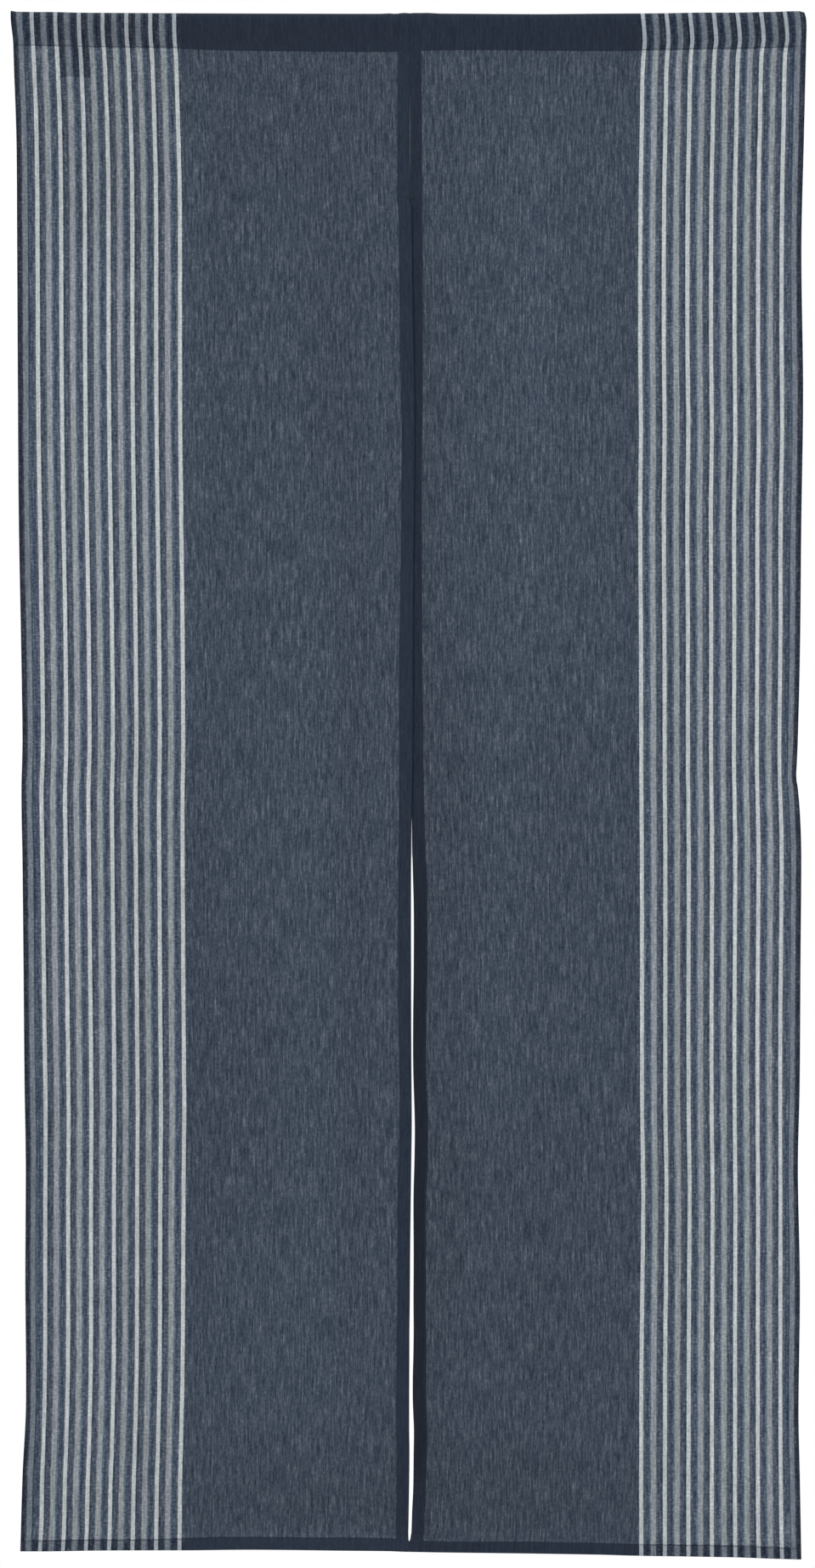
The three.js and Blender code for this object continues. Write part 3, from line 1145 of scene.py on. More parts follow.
@dataclass
class HemSewing:
    """The sewing of one panel: its side hems, its bottom hem and its rod pocket, on both faces."""

    panel: ClothPanel
    edge_inset: float = 0.0015
    thread_rise: float = 0.00010
    stitch_row_rise: float = 0.0016
    corner_layers: int = 2

    def surface(self, inward: float, drop: float, rise: float, face: Face) -> Vector:
        """Point on or just over one face of a hem.

        Args:
            inward: Distance in from the outer edge.
            drop: Distance down from the top edge.
            rise: Height over the cloth.
            face: Front or back.

        Returns:
            The point.
        """
        height = SIZES.cloth_thickness / 2 + rise + self.thread_rise
        return self.panel.drape.place(inward, drop, face.behind(height))

    def side_line(self, is_middle: bool, face: Face) -> SewingLine:
        """The stitches down one side hem.

        Args:
            is_middle: Whether it is the hem at the middle of the curtain.
            face: Front or back.

        Returns:
            The line.
        """
        top = SIZES.flap_drop + self.edge_inset
        drape = self.panel.drape

        def place(along: float, beside: float, rise: float) -> Vector:
            """Point of the line, from the top down.

            Args:
                along: Distance along the line.
                beside: Distance to its left.
                rise: Rise off the cloth.

            Returns:
                The point.
            """
            drop = top + along
            if is_middle:
                inward = SIZES.width - drape.middle_hem.at(drop) + self.edge_inset
            else:
                inward = SIZES.outer_hem + self.panel.hem_wander(drop) - self.edge_inset
            return self.surface(inward + beside, drop, rise, face)

        edge = "middle" if is_middle else "outer"
        name = f"{self.panel.name}_{edge}_{face.name.lower()}"
        return SewingLine(name, SIZES.length - top - SIZES.bottom_hem, place)

    def bottom_line(self, face: Face) -> SewingLine:
        """The stitches along the bottom hem.

        Args:
            face: Front or back.

        Returns:
            The line.
        """
        drop = SIZES.length - SIZES.bottom_hem + self.edge_inset

        def place(along: float, beside: float, rise: float) -> Vector:
            """Point of the line, from the outer edge to the middle.

            Args:
                along: Distance along the line.
                beside: Distance to its left.
                rise: Rise off the cloth.

            Returns:
                The point.
            """
            inward = self.edge_inset + along
            corner = self.panel.corner(inward) if face is Face.BACK else 0.0
            point = self.surface(inward, drop + beside, rise, face)
            return point + Vector((0, corner * self.corner_layers * SIZES.layer_gap, 0))

        name = f"{self.panel.name}_bottom_{face.name.lower()}"
        return SewingLine(name, SIZES.width - 2 * self.edge_inset, place)

    def pocket_line(self, face: Face) -> SewingLine:
        """The stitches that close the rod pocket.

        Args:
            face: Front or back.

        Returns:
            The line.
        """
        half = SIZES.solid_thickness - SIZES.front_inset + SIZES.cloth_thickness / 2
        drape = self.panel.drape

        def place(along: float, beside: float, rise: float) -> Vector:
            """Point of the line, from the outer edge to the middle.

            Args:
                along: Distance along the line.
                beside: Distance to its left.
                rise: Rise off the cloth.

            Returns:
                The point.
            """
            inward = self.edge_inset + along
            drop = SIZES.stitch_drop + self.stitch_row_rise + beside
            x = drape.x(inward, drop)
            y = face.value * (half + rise + self.thread_rise)
            if face is Face.FRONT:
                y -= drape.pucker(inward, SIZES.stitch_drop)
            else:
                y += SIZES.layer_gap * self.panel.flap_stack * self.panel.corner(inward)
            return Vector((x, y, drape.z(x, drop)))

        name = f"{self.panel.name}_pocket_{face.name.lower()}"
        return SewingLine(name, SIZES.width - 2 * self.edge_inset, place)

    def build(self) -> bpy.types.Object:
        """Sews the panel's hems and pocket as one joined mesh.

        Returns:
            The panel's stitches.
        """
        lines = []
        for face in Face:
            lines.append(self.side_line(False, face))
            lines.append(self.side_line(True, face))
            lines.append(self.bottom_line(face))
            lines.append(self.pocket_line(face))
        rows = [line.build() for line in lines]
        return join(f"{self.panel.side.name.lower()}_sewing", rows)


@dataclass
class CentreSeam:
    """The whipped seam that joins the panels, and the bar of stitches that ends it."""

    drape: Drape
    pitch: float = 0.0036
    stitch_length: float = 0.0034
    bar_width: float = 0.0075
    bar_pitch: float = 0.0006
    bar_height: float = 0.0028
    bar_rise: float = 0.0002

    def seam_line(self, face: Face) -> SewingLine:
        """The whip stitches over the joined edges, on one face.

        Args:
            face: Front or back.

        Returns:
            The line.
        """

        def place(along: float, beside: float, rise: float) -> Vector:
            """Point of the seam, from the pocket down.

            Args:
                along: Distance along the line.
                beside: Distance to its left.
                rise: Rise off the cloth.

            Returns:
                The point.
            """
            front = self.drape.place(SIZES.width, SIZES.flap_drop + along)
            behind = face.behind(SIZES.cloth_thickness / 2 + rise)
            return Vector((beside, front.y + behind, front.z))

        return SewingLine(
            f"seam_{face.name.lower()}",
            SIZES.sewn_drop - SIZES.flap_drop,
            place,
            pitch=self.pitch,
            crosswise=True,
            stitch_length=self.stitch_length,
        )

    def bar_line(self, face: Face) -> SewingLine:
        """The close upright stitches that end the seam, on one face.

        Args:
            face: Front or back.

        Returns:
            The line.
        """

        def place(along: float, beside: float, rise: float) -> Vector:
            """Point of the bar, from left to right.

            Args:
                along: Distance along the line.
                beside: Distance to its left.
                rise: Rise off the cloth.

            Returns:
                The point.
            """
            front = self.drape.place(SIZES.width, SIZES.sewn_drop)
            behind = face.behind(SIZES.cloth_thickness / 2 + rise + self.bar_rise)
            return Vector((along - self.bar_width / 2, front.y + behind, front.z + beside))

        return SewingLine(
            f"bar_{face.name.lower()}",
            self.bar_width,
            place,
            pitch=self.bar_pitch,
            crosswise=True,
            stitch_length=self.bar_height,
        )

    def build(self) -> bpy.types.Object:
        """Sews the seam and its bar as one joined mesh.

        Returns:
            The stitches.
        """
        lines = []
        for face in Face:
            lines.append(self.seam_line(face))
            lines.append(self.bar_line(face))
        return join("centre_sewing", [line.build() for line in lines])


@dataclass
class Label:
    """The small plain tape sewn on the back of the left panel, just under the pocket."""

    drape: Drape
    left: float = -0.386
    width: float = 0.033
    height: float = 0.029
    top_drop: float = 0.0413
    thickness: float = 0.0004
    stand_off: float = 0.0004
    curl: float = 0.0009
    middle_curl: float = 0.4
    sewing_inset: float = 0.0015
    smooth_angle: float = math.radians(40)
    steps: int = 22

    def place(self, across: float, down: float, rise: float) -> Vector:
        """Point of the tape on the back of the cloth.

        Args:
            across: Part of the way across, 0 at the left.
            down: Part of the way down, 0 at the top.
            rise: Height over the tape's middle.

        Returns:
            The point.
        """
        drop = self.top_drop + down * self.height
        inward = self.left - self.drape.outer_edge.at(drop) + across * self.width
        lifted = self.curl * down * down * mix(self.middle_curl, 1.0, (2 * across - 1) ** 2)
        behind = SIZES.cloth_thickness / 2 + self.stand_off + lifted + rise
        return self.drape.place(inward, drop, behind)

    def build(self) -> bpy.types.Object:
        """Models the tape from a grid, bent to hang against the cloth.

        Returns:
            The label.
        """
        bpy.ops.object.select_all(action="DESELECT")
        bpy.ops.mesh.primitive_grid_add(
            x_subdivisions=self.steps,
            y_subdivisions=self.steps,
            size=1,
            location=(0, 0, 0),
        )
        tape = bpy.context.active_object
        tape.name = "label"
        tape.data.name = "label"
        for vertex in tape.data.vertices:
            across, up, _ = vertex.co
            vertex.co = self.place(across + 0.5, 0.5 - up, 0.0)
        thicken(tape, self.thickness)
        smooth(tape, self.smooth_angle)
        return tape

    def sewing(self) -> bpy.types.Object:
        """The stitches along the tape's top edge, on the tape.

        Returns:
            The stitches.
        """

        def place(along: float, beside: float, rise: float) -> Vector:
            """Point of the line, from left to right."""
            down = (self.sewing_inset + beside) / self.height
            return self.place(along / self.width, down, self.thickness / 2 + rise)

        return join("label_sewing", [SewingLine("label_stitches", self.width, place).build()])

    def dress(self, tape: bpy.types.Object, finish: bpy.types.Material) -> None:
        """Gives the tape its material and place in the frame.

        Args:
            tape: The label.
            finish: Its material.
        """
        tape.data.materials.append(finish)
        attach(tape, BODY)
        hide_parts("care_label")


# Light that the cloth's gloss adds to every colour, and the darkest that a colour may be
GLOSS = 0.008
LEAST_COLOUR = 0.001


def linear(value: float) -> float:
    """Linear value of one display channel from 0 to 255, by the sRGB curve."""
    part = value / 255
    return part / 12.92 if part <= 0.04045 else ((part + 0.055) / 1.055) ** 2.4


class Shade(NamedTuple):
    """A colour as it shows in soft light, in display values from 0 to 255."""

    red: float
    green: float
    blue: float

    def base(self, light: float) -> tuple[float, float, float, float]:
        """The surface colour that shows as this under the studio's light.

        Args:
            light: How bright a white surface shows there.

        Returns:
            The colour with its alpha.
        """
        red, green, blue = (max(linear(value) - GLOSS, LEAST_COLOUR) / light for value in self)
        return red, green, blue, 1.0


class StripeStop(NamedTuple):
    """Where in the stripes' repeat a shade stands, from 0 to 1."""

    at: float
    shade: Shade


GREY = Shade(142, 148, 153)
WHITE = Shade(187, 193, 195)
STRIPE_REPEAT = (
    StripeStop(0.0, GREY),
    StripeStop(0.07, Shade(141, 149, 157)),
    StripeStop(0.11, Shade(100, 112, 124)),
    StripeStop(0.18, Shade(72, 85, 100)),
    StripeStop(0.24, Shade(68, 79, 96)),
    StripeStop(0.30, Shade(73, 83, 98)),
    StripeStop(0.345, Shade(80, 89, 101)),
    StripeStop(0.405, Shade(90, 98, 110)),
    StripeStop(0.43, WHITE),
    StripeStop(0.572, WHITE),
    StripeStop(0.60, Shade(68, 78, 90)),
    StripeStop(0.64, Shade(64, 75, 87)),
    StripeStop(0.70, Shade(75, 85, 98)),
    StripeStop(0.79, Shade(76, 85, 98)),
    StripeStop(0.85, Shade(88, 95, 106)),
    StripeStop(0.89, Shade(141, 147, 152)),
    StripeStop(1.0, GREY),
)


class FineGrain(NamedTuple):
    """An even grain: its size in metres, its detail, its light and dark, and its bump."""

    size: float
    detail: float
    contrast: float
    darkest: float
    bump: float
    depth: float


SPECULAR = 0.2
SHEEN_ROUGHNESS = 0.5
NOISE_ROUGHNESS = 0.55
NOISE_MIDDLE = 0.5


class NodeSheet:
    """Adds nodes to one material and joins them."""

    def __init__(self, name: str, roughness: float, sheen: float) -> None:
        """Makes the material with its surface shader.

        Args:
            name: Name of the material.
            roughness: Roughness all over the surface.
            sheen: Strength of the cloth's sheen.
        """
        self.material = bpy.data.materials.new(name)
        self.material.use_nodes = True
        self.tree = self.material.node_tree
        self.surface = self.tree.nodes["Principled BSDF"]
        self.surface.inputs["Roughness"].default_value = roughness
        self.surface.inputs["Specular IOR Level"].default_value = SPECULAR
        self.surface.inputs["Sheen Weight"].default_value = sheen
        self.surface.inputs["Sheen Roughness"].default_value = SHEEN_ROUGHNESS

    def add(self, kind: str, **settings: object) -> bpy.types.Node:
        """Adds a node and sets its properties.

        Args:
            kind: The node's type.
            settings: Its properties.

        Returns:
            The node.
        """
        node = self.tree.nodes.new(kind)
        for key, value in settings.items():
            setattr(node, key, value)
        return node

    def feed(self, target: bpy.types.NodeSocket, value: object) -> None:
        """Links a socket to a target, or sets the target's own value.

        Args:
            target: The socket that is fed.
            value: A socket, or a plain value.
        """
        if isinstance(value, bpy.types.NodeSocket):
            self.tree.links.new(value, target)
        else:
            target.default_value = value

    def math(self, operation: str, *values: object) -> bpy.types.NodeSocket:
        """Does one arithmetic step.

        Args:
            operation: What is done.
            values: One, two or three sockets or numbers.

        Returns:
            The result.
        """
        node = self.add("ShaderNodeMath", operation=operation)
        for socket, value in zip(node.inputs, values):
            self.feed(socket, value)
        return node.outputs[0]

    def ramp_up(self, value: object, start: float, end: float) -> bpy.types.NodeSocket:
        """Rises smoothly from 0 at start to 1 at end, or falls where end is the smaller.

        Args:
            value: What is followed.
            start: Where it gives 0.
            end: Where it gives 1.

        Returns:
            The ramp's value.
        """
        node = self.add("ShaderNodeMapRange", interpolation_type="SMOOTHSTEP")
        rises = start < end
        self.feed(node.inputs["Value"], value)
        node.inputs["From Min"].default_value = min(start, end)
        node.inputs["From Max"].default_value = max(start, end)
        node.inputs["To Min"].default_value = 0.0 if rises else 1.0
        node.inputs["To Max"].default_value = 1.0 if rises else 0.0
        return node.outputs["Result"]

    def coordinates(self, map_name: str) -> tuple[bpy.types.NodeSocket, ...]:
        """Reads a UV map.

        Args:
            map_name: Name of the map.

        Returns:
            The whole vector and its two parts.
        """
        source = self.add("ShaderNodeUVMap", uv_map=map_name)
        parts = self.add("ShaderNodeSeparateXYZ")
        self.tree.links.new(source.outputs["UV"], parts.inputs[0])
        return source.outputs["UV"], parts.outputs["X"], parts.outputs["Y"]

    def attribute(self, name: str) -> bpy.types.NodeSocket:
        """A number that the mesh keeps at each of its points."""
        return self.add("ShaderNodeAttribute", attribute_name=name).outputs["Fac"]

    def noise(
        self, vector: object, across: float, along: float, detail: float = 1.0
    ) -> bpy.types.NodeSocket:
        """Noise from about 0 to 1.

        Args:
            vector: The coordinates, in metres.
            across: Width of a grain.
            along: Length of a grain.
            detail: How much finer noise there is in it.

        Returns:
            The noise.
        """
        mapping = self.add("ShaderNodeMapping")
        self.feed(mapping.inputs["Vector"], vector)
        mapping.inputs["Scale"].default_value = (1 / across, 1 / along, 1.0)
        node = self.add("ShaderNodeTexNoise", noise_dimensions="3D")
        self.tree.links.new(mapping.outputs[0], node.inputs["Vector"])
        node.inputs["Scale"].default_value = 1.0
        node.inputs["Detail"].default_value = detail
        node.inputs["Roughness"].default_value = NOISE_ROUGHNESS
        return node.outputs[0]

    def blend(self, factor: object, first: object, second: object) -> bpy.types.NodeSocket:
        """Mixes two colours.

        Args:
            factor: Part of the second colour.
            first: The first colour.
            second: The second colour.

        Returns:
            The mix.
        """
        node = self.add("ShaderNodeMix", data_type="RGBA", blend_type="MIX")
        self.feed(node.inputs[0], factor)
        self.feed(node.inputs[6], first)
        self.feed(node.inputs[7], second)
        return node.outputs[2]

    def scaled(self, colour: object, factor: object) -> bpy.types.NodeSocket:
        """Makes a colour brighter or darker.

        Args:
            colour: The colour.
            factor: What it is multiplied by.

        Returns:
            The new colour.
        """
        node = self.add("ShaderNodeVectorMath", operation="SCALE")
        self.feed(node.inputs[0], colour)
        self.feed(node.inputs["Scale"], factor)
        return node.outputs[0]

    def finish(self, colour: object, height: object, strength: float, depth: float) -> None:
        """Feeds the surface its colour and its bump.

        Args:
            colour: The base colour.
            height: The bump's height, from about 0 to 1.
            strength: Strength of the bump.
            depth: Depth of the bump in metres.
        """
        self.feed(self.surface.inputs["Base Color"], colour)
        bump = self.add("ShaderNodeBump")
        bump.inputs["Strength"].default_value = strength
        bump.inputs["Distance"].default_value = depth
        self.feed(bump.inputs["Height"], height)
        self.tree.links.new(bump.outputs[0], self.surface.inputs["Normal"])

    def grainy(self, base: tuple[float, float, float, float], grain: FineGrain) -> None:
        """Finishes the surface in one colour with an even grain, on its Object coordinates.

        Args:
            base: The colour.
            grain: The grain.
        """
        source = self.add("ShaderNodeTexCoord").outputs["Object"]
        height = self.noise(source, grain.size, grain.size, grain.detail)
        brightness = self.math("ADD", self.math("MULTIPLY", height, grain.contrast), grain.darkest)
        colour = self.add("ShaderNodeRGB").outputs[0]
        colour.default_value = base
        self.finish(self.scaled(colour, brightness), height, grain.bump, grain.depth)


class Grain(NamedTuple):
    """One size of streak in the heather, in metres, and how much it counts."""

    across: float
    along: float
    weight: float


HEATHER_GRAINS = (
    Grain(0.0021, 0.032, 1.0),
    Grain(0.0018, 0.011, 0.9),
    Grain(0.0014, 0.0040, 0.65),
    Grain(0.0045, 0.040, 0.35),
    Grain(0.0010, 0.150, 0.3),
)


@dataclass(frozen=True)
class StripedCloth:
    """Thin indigo chambray with off-white and grey stripes in its warp."""

    light: float
    period: float = 0.0258
    field_start: float = 6.17
    field_ease: float = 0.04
    roughness: float = 0.92
    sheen: float = 0.05
    bump: float = 0.35
    bump_depth: float = 0.00012
    field: Shade = Shade(66, 75, 88)
    # Painted shade of doubled cloth, darker where less light from behind shines through the layers
    doubled_gamma: float = 1.35
    doubled_field_gain: float = 1.07
    doubled_stripe_gain: float = 0.93
    doubled_tint: tuple[float, float, float] = (1.0, 1.0, 1.06)
    layer_edge: float = 0.02
    # Painted shade along the seams, for the shade in their grooves and their dark thread
    seam_place: float = 0.90
    seam_core: float = 0.01
    seam_fade: float = 0.06
    side_seam_painted_shade: float = 0.08
    end_seam_painted_shade: float = 0.36
    field_seam_part: float = 0.25
    streaks: float = 0.42
    tick_across: float = 0.0040
    tick_along: float = 0.0022
    field_ticks: float = 0.15
    stripe_ticks: float = 0.55
    texture_power: float = -0.55
    doubled_field_texture: float = 0.25
    doubled_stripe_texture: float = 0.75
    thread_pitch: float = 0.00055
    # The label's painted shadow through the cloth: its strength and place
    label_show: float = 0.88
    label_left: float = 0.0510
    label_width: float = 0.033
    label_top: float = 0.030
    label_bottom: float = 0.0713
    label_edge: float = 0.0006

    def stripes(
        self, sheet: NodeSheet, across: bpy.types.NodeSocket
    ) -> tuple[bpy.types.NodeSocket, bpy.types.NodeSocket]:
        """The repeat of the stripes, and the plain field past them.

        Args:
            sheet: The material's nodes.
            across: Width along the flat cloth from the outer edge.

        Returns:
            The colour, and 1 in the field or 0 in the stripes.
        """
        from_white = sheet.math("SUBTRACT", across, SIZES.white_inset)
        periods = sheet.math("DIVIDE", from_white, self.period)
        repeat = sheet.math("FRACT", sheet.math("ADD", periods, 0.5))
        ramp = sheet.add("ShaderNodeValToRGB")
        sheet.feed(ramp.inputs[0], repeat)
        elements = ramp.color_ramp.elements
        elements.remove(elements[1])
        for index, stop in enumerate(STRIPE_REPEAT):
            element = elements[0] if index == 0 else elements.new(stop.at)
            element.position = stop.at
            element.color = stop.shade.base(self.light)
        in_field = sheet.ramp_up(periods, self.field_start, self.field_start + self.field_ease)
        return sheet.blend(in_field, ramp.outputs[0], self.field.base(self.light)), in_field

    def heather(
        self,
        sheet: NodeSheet,
        vector: bpy.types.NodeSocket,
        in_field: bpy.types.NodeSocket,
    ) -> bpy.types.NodeSocket:
        """Heather streaks of the warp, uneven yarns and faint ticks of the weft.

        Args:
            sheet: The material's nodes.
            vector: The pattern's coordinates.
            in_field: 1 in the field or 0 in the stripes.

        Returns:
            The heather, about 0.
        """
        streaks = None
        for grain in HEATHER_GRAINS:
            noise = sheet.noise(vector, grain.across, grain.along)
            about_zero = sheet.math("SUBTRACT", noise, NOISE_MIDDLE)
            step = sheet.math("MULTIPLY", about_zero, grain.weight)
            streaks = step if streaks is None else sheet.math("ADD", streaks, step)
        tick_noise = sheet.noise(vector, self.tick_across, self.tick_along)
        ticks = sheet.math("SUBTRACT", tick_noise, NOISE_MIDDLE)
        more_ticks = self.field_ticks - self.stripe_ticks
        tick_strength = sheet.math("MULTIPLY_ADD", in_field, more_ticks, self.stripe_ticks)
        warp = sheet.math("MULTIPLY", streaks, self.streaks)
        return sheet.math("MULTIPLY_ADD", ticks, tick_strength, warp)

    def streaked(
        self, sheet: NodeSheet, colour: bpy.types.NodeSocket, heather: bpy.types.NodeSocket
    ) -> bpy.types.NodeSocket:
        """The colour with its heather, which is grey and shows more in dark yarns.

        Args:
            sheet: The material's nodes.
            colour: The plain colour.
            heather: How much lighter or darker each place is.

        Returns:
            The colour.
        """
        parts = sheet.add("ShaderNodeSeparateColor")
        sheet.feed(parts.inputs[0], colour)
        joined = sheet.add("ShaderNodeCombineColor")
        for plain, target in zip(parts.outputs, joined.inputs):
            contrast = sheet.math("POWER", plain, self.texture_power)
            gain = sheet.math("EXPONENT", sheet.math("MULTIPLY", heather, contrast))
            sheet.feed(target, sheet.math("MULTIPLY", plain, gain))
        return joined.outputs[0]

    def weave(
        self, sheet: NodeSheet, across: bpy.types.NodeSocket, along: bpy.types.NodeSocket
    ) -> bpy.types.NodeSocket:
        """Height of a plain weave, over and under.

        Args:
            sheet: The material's nodes.
            across: Width along the flat cloth.
            along: Length along the flat cloth.

        Returns:
            The height.
        """
        turn = math.tau / (2 * self.thread_pitch)
        warp = sheet.math("SINE", sheet.math("MULTIPLY", across, turn))
        weft = sheet.math("SINE", sheet.math("MULTIPLY", along, turn))
        return sheet.math("MULTIPLY", warp, weft)

    def over_label(
        self, sheet: NodeSheet, across: bpy.types.NodeSocket, along: bpy.types.NodeSocket
    ) -> bpy.types.NodeSocket:
        """1 where the label behind the cloth shows through it as its painted shadow, darkened as a
        second layer.

        Args:
            sheet: The material's nodes.
            across: Width along the flat cloth.
            along: Length along the flat cloth.

        Returns:
            The mask.
        """
        half = self.label_width / 2
        aside = sheet.math("ABSOLUTE", sheet.math("SUBTRACT", across, self.label_left + half))
        middle = (self.label_top + self.label_bottom) / 2
        away = sheet.math("ABSOLUTE", sheet.math("SUBTRACT", along, middle))
        edge = self.label_edge
        beside = sheet.ramp_up(aside, half + edge, half - edge)
        reach = self.label_bottom - middle
        return sheet.math("MULTIPLY", beside, sheet.ramp_up(away, reach + edge, reach - edge))

    def material(self) -> bpy.types.Material:
        """Makes the cloth's material.

        Returns:
            The material.
        """
        sheet = NodeSheet("striped_cloth_finish", self.roughness, self.sheen)
        vector, across, along = sheet.coordinates(PATTERN_MAP)
        _, from_side, from_end = sheet.coordinates(LAYER_MAP)
        colour, in_field = self.stripes(sheet, across)

        # Painted shade: the doubled hems and pocket, and the label's patch, are darkened as where
        # less light from behind shines through the layers
        nearest = sheet.math("MINIMUM", from_side, from_end)
        doubled = sheet.ramp_up(nearest, 1 + self.layer_edge, 1 - self.layer_edge)
        label = sheet.math("MULTIPLY", self.over_label(sheet, across, along), self.label_show)
        doubled = sheet.math("MAXIMUM", doubled, label)
        gamma = sheet.add("ShaderNodeGamma")
        sheet.feed(gamma.inputs[0], colour)
        gamma.inputs[1].default_value = self.doubled_gamma
        level = self.light ** (self.doubled_gamma - 1)
        more_gain = (self.doubled_field_gain - self.doubled_stripe_gain) * level
        gain = sheet.math("MULTIPLY_ADD", in_field, more_gain, self.doubled_stripe_gain * level)
        tinted = sheet.add("ShaderNodeVectorMath", operation="MULTIPLY")
        sheet.feed(tinted.inputs[0], gamma.outputs[0])
        tinted.inputs[1].default_value = self.doubled_tint
        colour = sheet.blend(doubled, colour, sheet.scaled(tinted.outputs[0], gain))

        # Painted light and shade from the mesh attribute, times the painted shade of the seams
        brightness = sheet.attribute(PAINTED_LIGHT)
        # A painted darker line along the hem and pocket seams, for the shade in their grooves and
        # their dark thread, fainter in the plain field
        off_stripes = (self.field_seam_part - 1) * self.end_seam_painted_shade
        end_seam_shade = sheet.math("MULTIPLY_ADD", in_field, off_stripes, self.end_seam_painted_shade)
        for place, seam_shade in (
            (nearest, self.side_seam_painted_shade),
            (from_end, end_seam_shade),
        ):
            off_seam = sheet.math("ABSOLUTE", sheet.math("SUBTRACT", place, self.seam_place))
            on_seam = sheet.ramp_up(off_seam, self.seam_fade, self.seam_core)
            dimmed = sheet.math("SUBTRACT", 1.0, sheet.math("MULTIPLY", on_seam, seam_shade))
            brightness = sheet.math("MULTIPLY", brightness, dimmed)
        texture_change = self.doubled_field_texture - self.doubled_stripe_texture
        doubled_texture = sheet.math(
            "MULTIPLY_ADD", in_field, texture_change, self.doubled_stripe_texture - 1
        )
        softer = sheet.math("MULTIPLY_ADD", doubled, doubled_texture, 1.0)
        heather = sheet.math("MULTIPLY", self.heather(sheet, vector, in_field), softer)
        sheet.finish(
            sheet.scaled(self.streaked(sheet, colour, heather), brightness),
            self.weave(sheet, across, along),
            self.bump,
            self.bump_depth,
        )
        return sheet.material


@dataclass(frozen=True)
class PlainTape:
    """Plain off-white woven tape."""

    light: float
    shade: Shade = Shade(188, 190, 190)
    roughness: float = 0.8
    sheen: float = 0.1
    grain: FineGrain = FineGrain(0.0006, 2.0, 0.24, 0.88, 0.3, 0.0001)

    def material(self) -> bpy.types.Material:
        """Makes the tape's material.

        Returns:
            The material.
        """
        sheet = NodeSheet("label_tape_finish", self.roughness, self.sheen)
        sheet.grainy(self.shade.base(self.light), self.grain)
        return sheet.material


@dataclass(frozen=True)
class SewingThread:
    """Dark indigo sewing thread, twisted from fine fibres."""

    light: float
    shade: Shade = Shade(46, 53, 65)
    roughness: float = 0.7
    sheen: float = 0.2
    grain: FineGrain = FineGrain(0.0008, 2.0, 0.8, 0.6, 0.4, 0.0001)

    def material(self) -> bpy.types.Material:
        """Makes the thread's material.

        Returns:
            The material.
        """
        sheet = NodeSheet("sewing_thread_finish", self.roughness, self.sheen)
        sheet.grainy(self.shade.base(self.light), self.grain)
        return sheet.material


@dataclass(frozen=True)
class PaleFloor:
    """Plain pale floor with a faint grain."""

    base: tuple[float, float, float, float] = (1.0, 1.0, 1.0, 1.0)
    roughness: float = 0.9
    sheen: float = 0.0
    grain: FineGrain = FineGrain(0.05, 4.0, 0.04, 0.78, 0.1, 0.001)

    def material(self) -> bpy.types.Material:
        """Makes the floor's material.

        Returns:
            The material.
        """
        sheet = NodeSheet("floor_finish", self.roughness, self.sheen)
        sheet.grainy(self.base, self.grain)
        return sheet.material


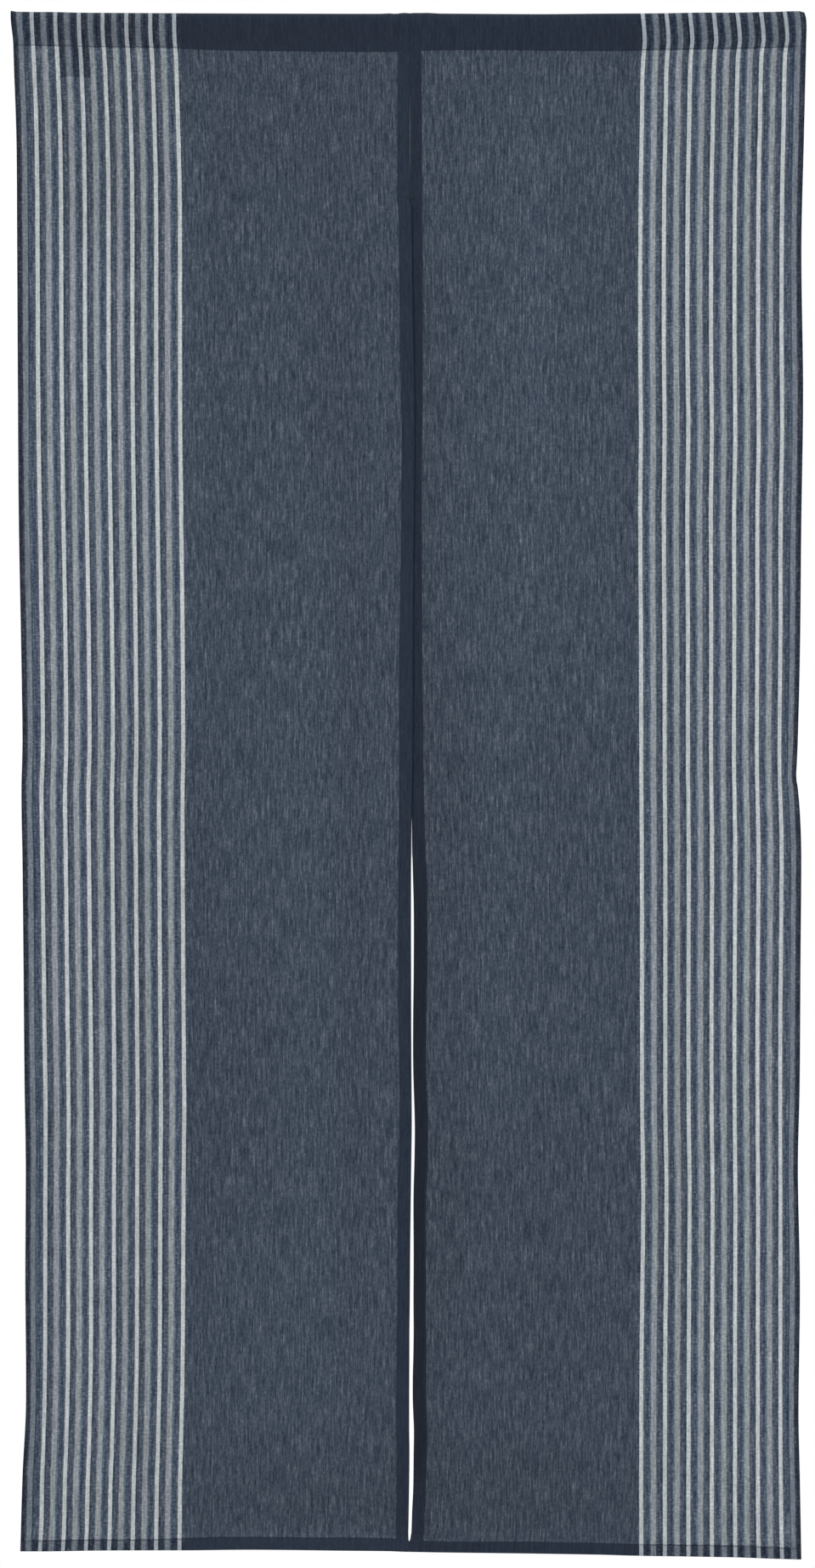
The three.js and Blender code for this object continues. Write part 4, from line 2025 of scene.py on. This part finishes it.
@dataclass
class Studio:
    """Plain pale floor, soft light and the camera straight in front."""

    room_light: float = 0.70
    key_light: float = 1.50
    key_turn: tuple[float, float, float] = (0.72, 0.55, -0.42)
    key_angle: float = 0.45
    floor_depth: float = 2.0
    floor_radius: float = 1.5
    floor_thickness: float = 0.02
    floor_sides: int = 96
    camera_lens: float = 135.0
    camera_sensor: float = 36.0
    camera_place: tuple[float, float, float] = (-0.00282, -6.50, -0.852)
    nearest_seen: float = 0.1
    farthest_seen: float = 50.0

    def build_floor(self) -> None:
        """A round pale floor under the curtain, below the camera's view."""
        bpy.ops.object.select_all(action="DESELECT")
        bpy.ops.mesh.primitive_cylinder_add(
            vertices=self.floor_sides,
            radius=self.floor_radius,
            depth=self.floor_thickness,
            location=(0, 0, -self.floor_depth - self.floor_thickness / 2),
        )
        floor = bpy.context.active_object
        floor.name = "floor"
        bpy.ops.object.transform_apply(location=True)
        floor.data.materials.append(PaleFloor().material())
        floor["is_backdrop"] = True

    def build_lights(self) -> None:
        """White surroundings, and a soft light from the upper left in front."""
        scene = bpy.context.scene
        scene.view_settings.view_transform = "Standard"
        world = bpy.data.worlds.new("studio")
        scene.world = world
        world.use_nodes = True
        tree = world.node_tree
        backdrop = tree.nodes["Background"]
        backdrop.inputs["Color"].default_value = (1, 1, 1, 1)
        path = tree.nodes.new("ShaderNodeLightPath")
        strength = tree.nodes.new("ShaderNodeMapRange")
        tree.links.new(path.outputs["Is Camera Ray"], strength.inputs["Value"])
        strength.inputs["To Min"].default_value = self.room_light
        strength.inputs["To Max"].default_value = 1.0
        tree.links.new(strength.outputs["Result"], backdrop.inputs["Strength"])
        key = bpy.data.lights.new("key", "SUN")
        key.energy = self.key_light
        key.angle = self.key_angle
        lamp = bpy.data.objects.new("key", key)
        lamp.rotation_mode = "QUATERNION"
        lamp.rotation_quaternion = Vector(self.key_turn).to_track_quat("-Z", "Y")
        bpy.context.collection.objects.link(lamp)

    def build_camera(self) -> None:
        """A long lens straight in front, as in the photograph."""
        data = bpy.data.cameras.new("camera")
        data.lens = self.camera_lens
        data.sensor_width = self.camera_sensor
        data.sensor_fit = "AUTO"
        data.clip_start = self.nearest_seen
        data.clip_end = self.farthest_seen
        camera = bpy.data.objects.new("camera", data)
        camera.location = self.camera_place
        camera.rotation_euler = (math.pi / 2, 0, 0)
        bpy.context.collection.objects.link(camera)
        bpy.context.scene.camera = camera

    def white_level(self) -> float:
        """How bright an upright white surface that faces the camera shows."""
        turn = Vector(self.key_turn).normalized()
        return self.room_light + self.key_light * turn.y / math.pi


def dress_sewing(piece: bpy.types.Object, thread: bpy.types.Material) -> None:
    """Gives stitches their material and place in the frame.

    Args:
        piece: The joined stitches.
        thread: Their material.
    """
    piece.data.materials.clear()
    piece.data.materials.append(thread)
    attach(piece, BODY)


def report(piece: bpy.types.Object) -> None:
    """Reports a finished piece."""
    LOG.info("%s: %d faces", piece.name, len(piece.data.polygons))


def main() -> None:
    """Loads the frame, then builds and dresses each piece in order."""
    logging.basicConfig(level=logging.INFO, format="%(name)s: %(message)s")
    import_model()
    cad_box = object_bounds()

    studio = Studio()
    studio.build_camera()
    studio.build_lights()
    studio.build_floor()
    light = studio.white_level()

    cloth = StripedCloth(light).material()
    thread = SewingThread(light).material()
    tape_finish = PlainTape(light).material()

    panels = {side: ClothPanel(side) for side in Side}
    label = Label(panels[Side.LEFT].drape)
    for side, panel in panels.items():
        piece = panel.build()
        panel.dress(piece, cloth)
        sewing = HemSewing(panel).build()
        dress_sewing(sewing, thread)
        if side is Side.LEFT:
            tape = label.build()
            label.dress(tape, tape_finish)
            tape_sewing = label.sewing()
            dress_sewing(tape_sewing, thread)
            report(tape)
            report(tape_sewing)
        panel.flat_size()
        report(piece)
        report(sewing)

    seam = CentreSeam(panels[Side.LEFT].drape).build()
    dress_sewing(seam, thread)
    report(seam)

    boxes = {"cad": cad_box, "visual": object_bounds()}
    {name: [list(corner) for corner in box] for name, box in boxes.items()}


if __name__ == "__main__":
    main()
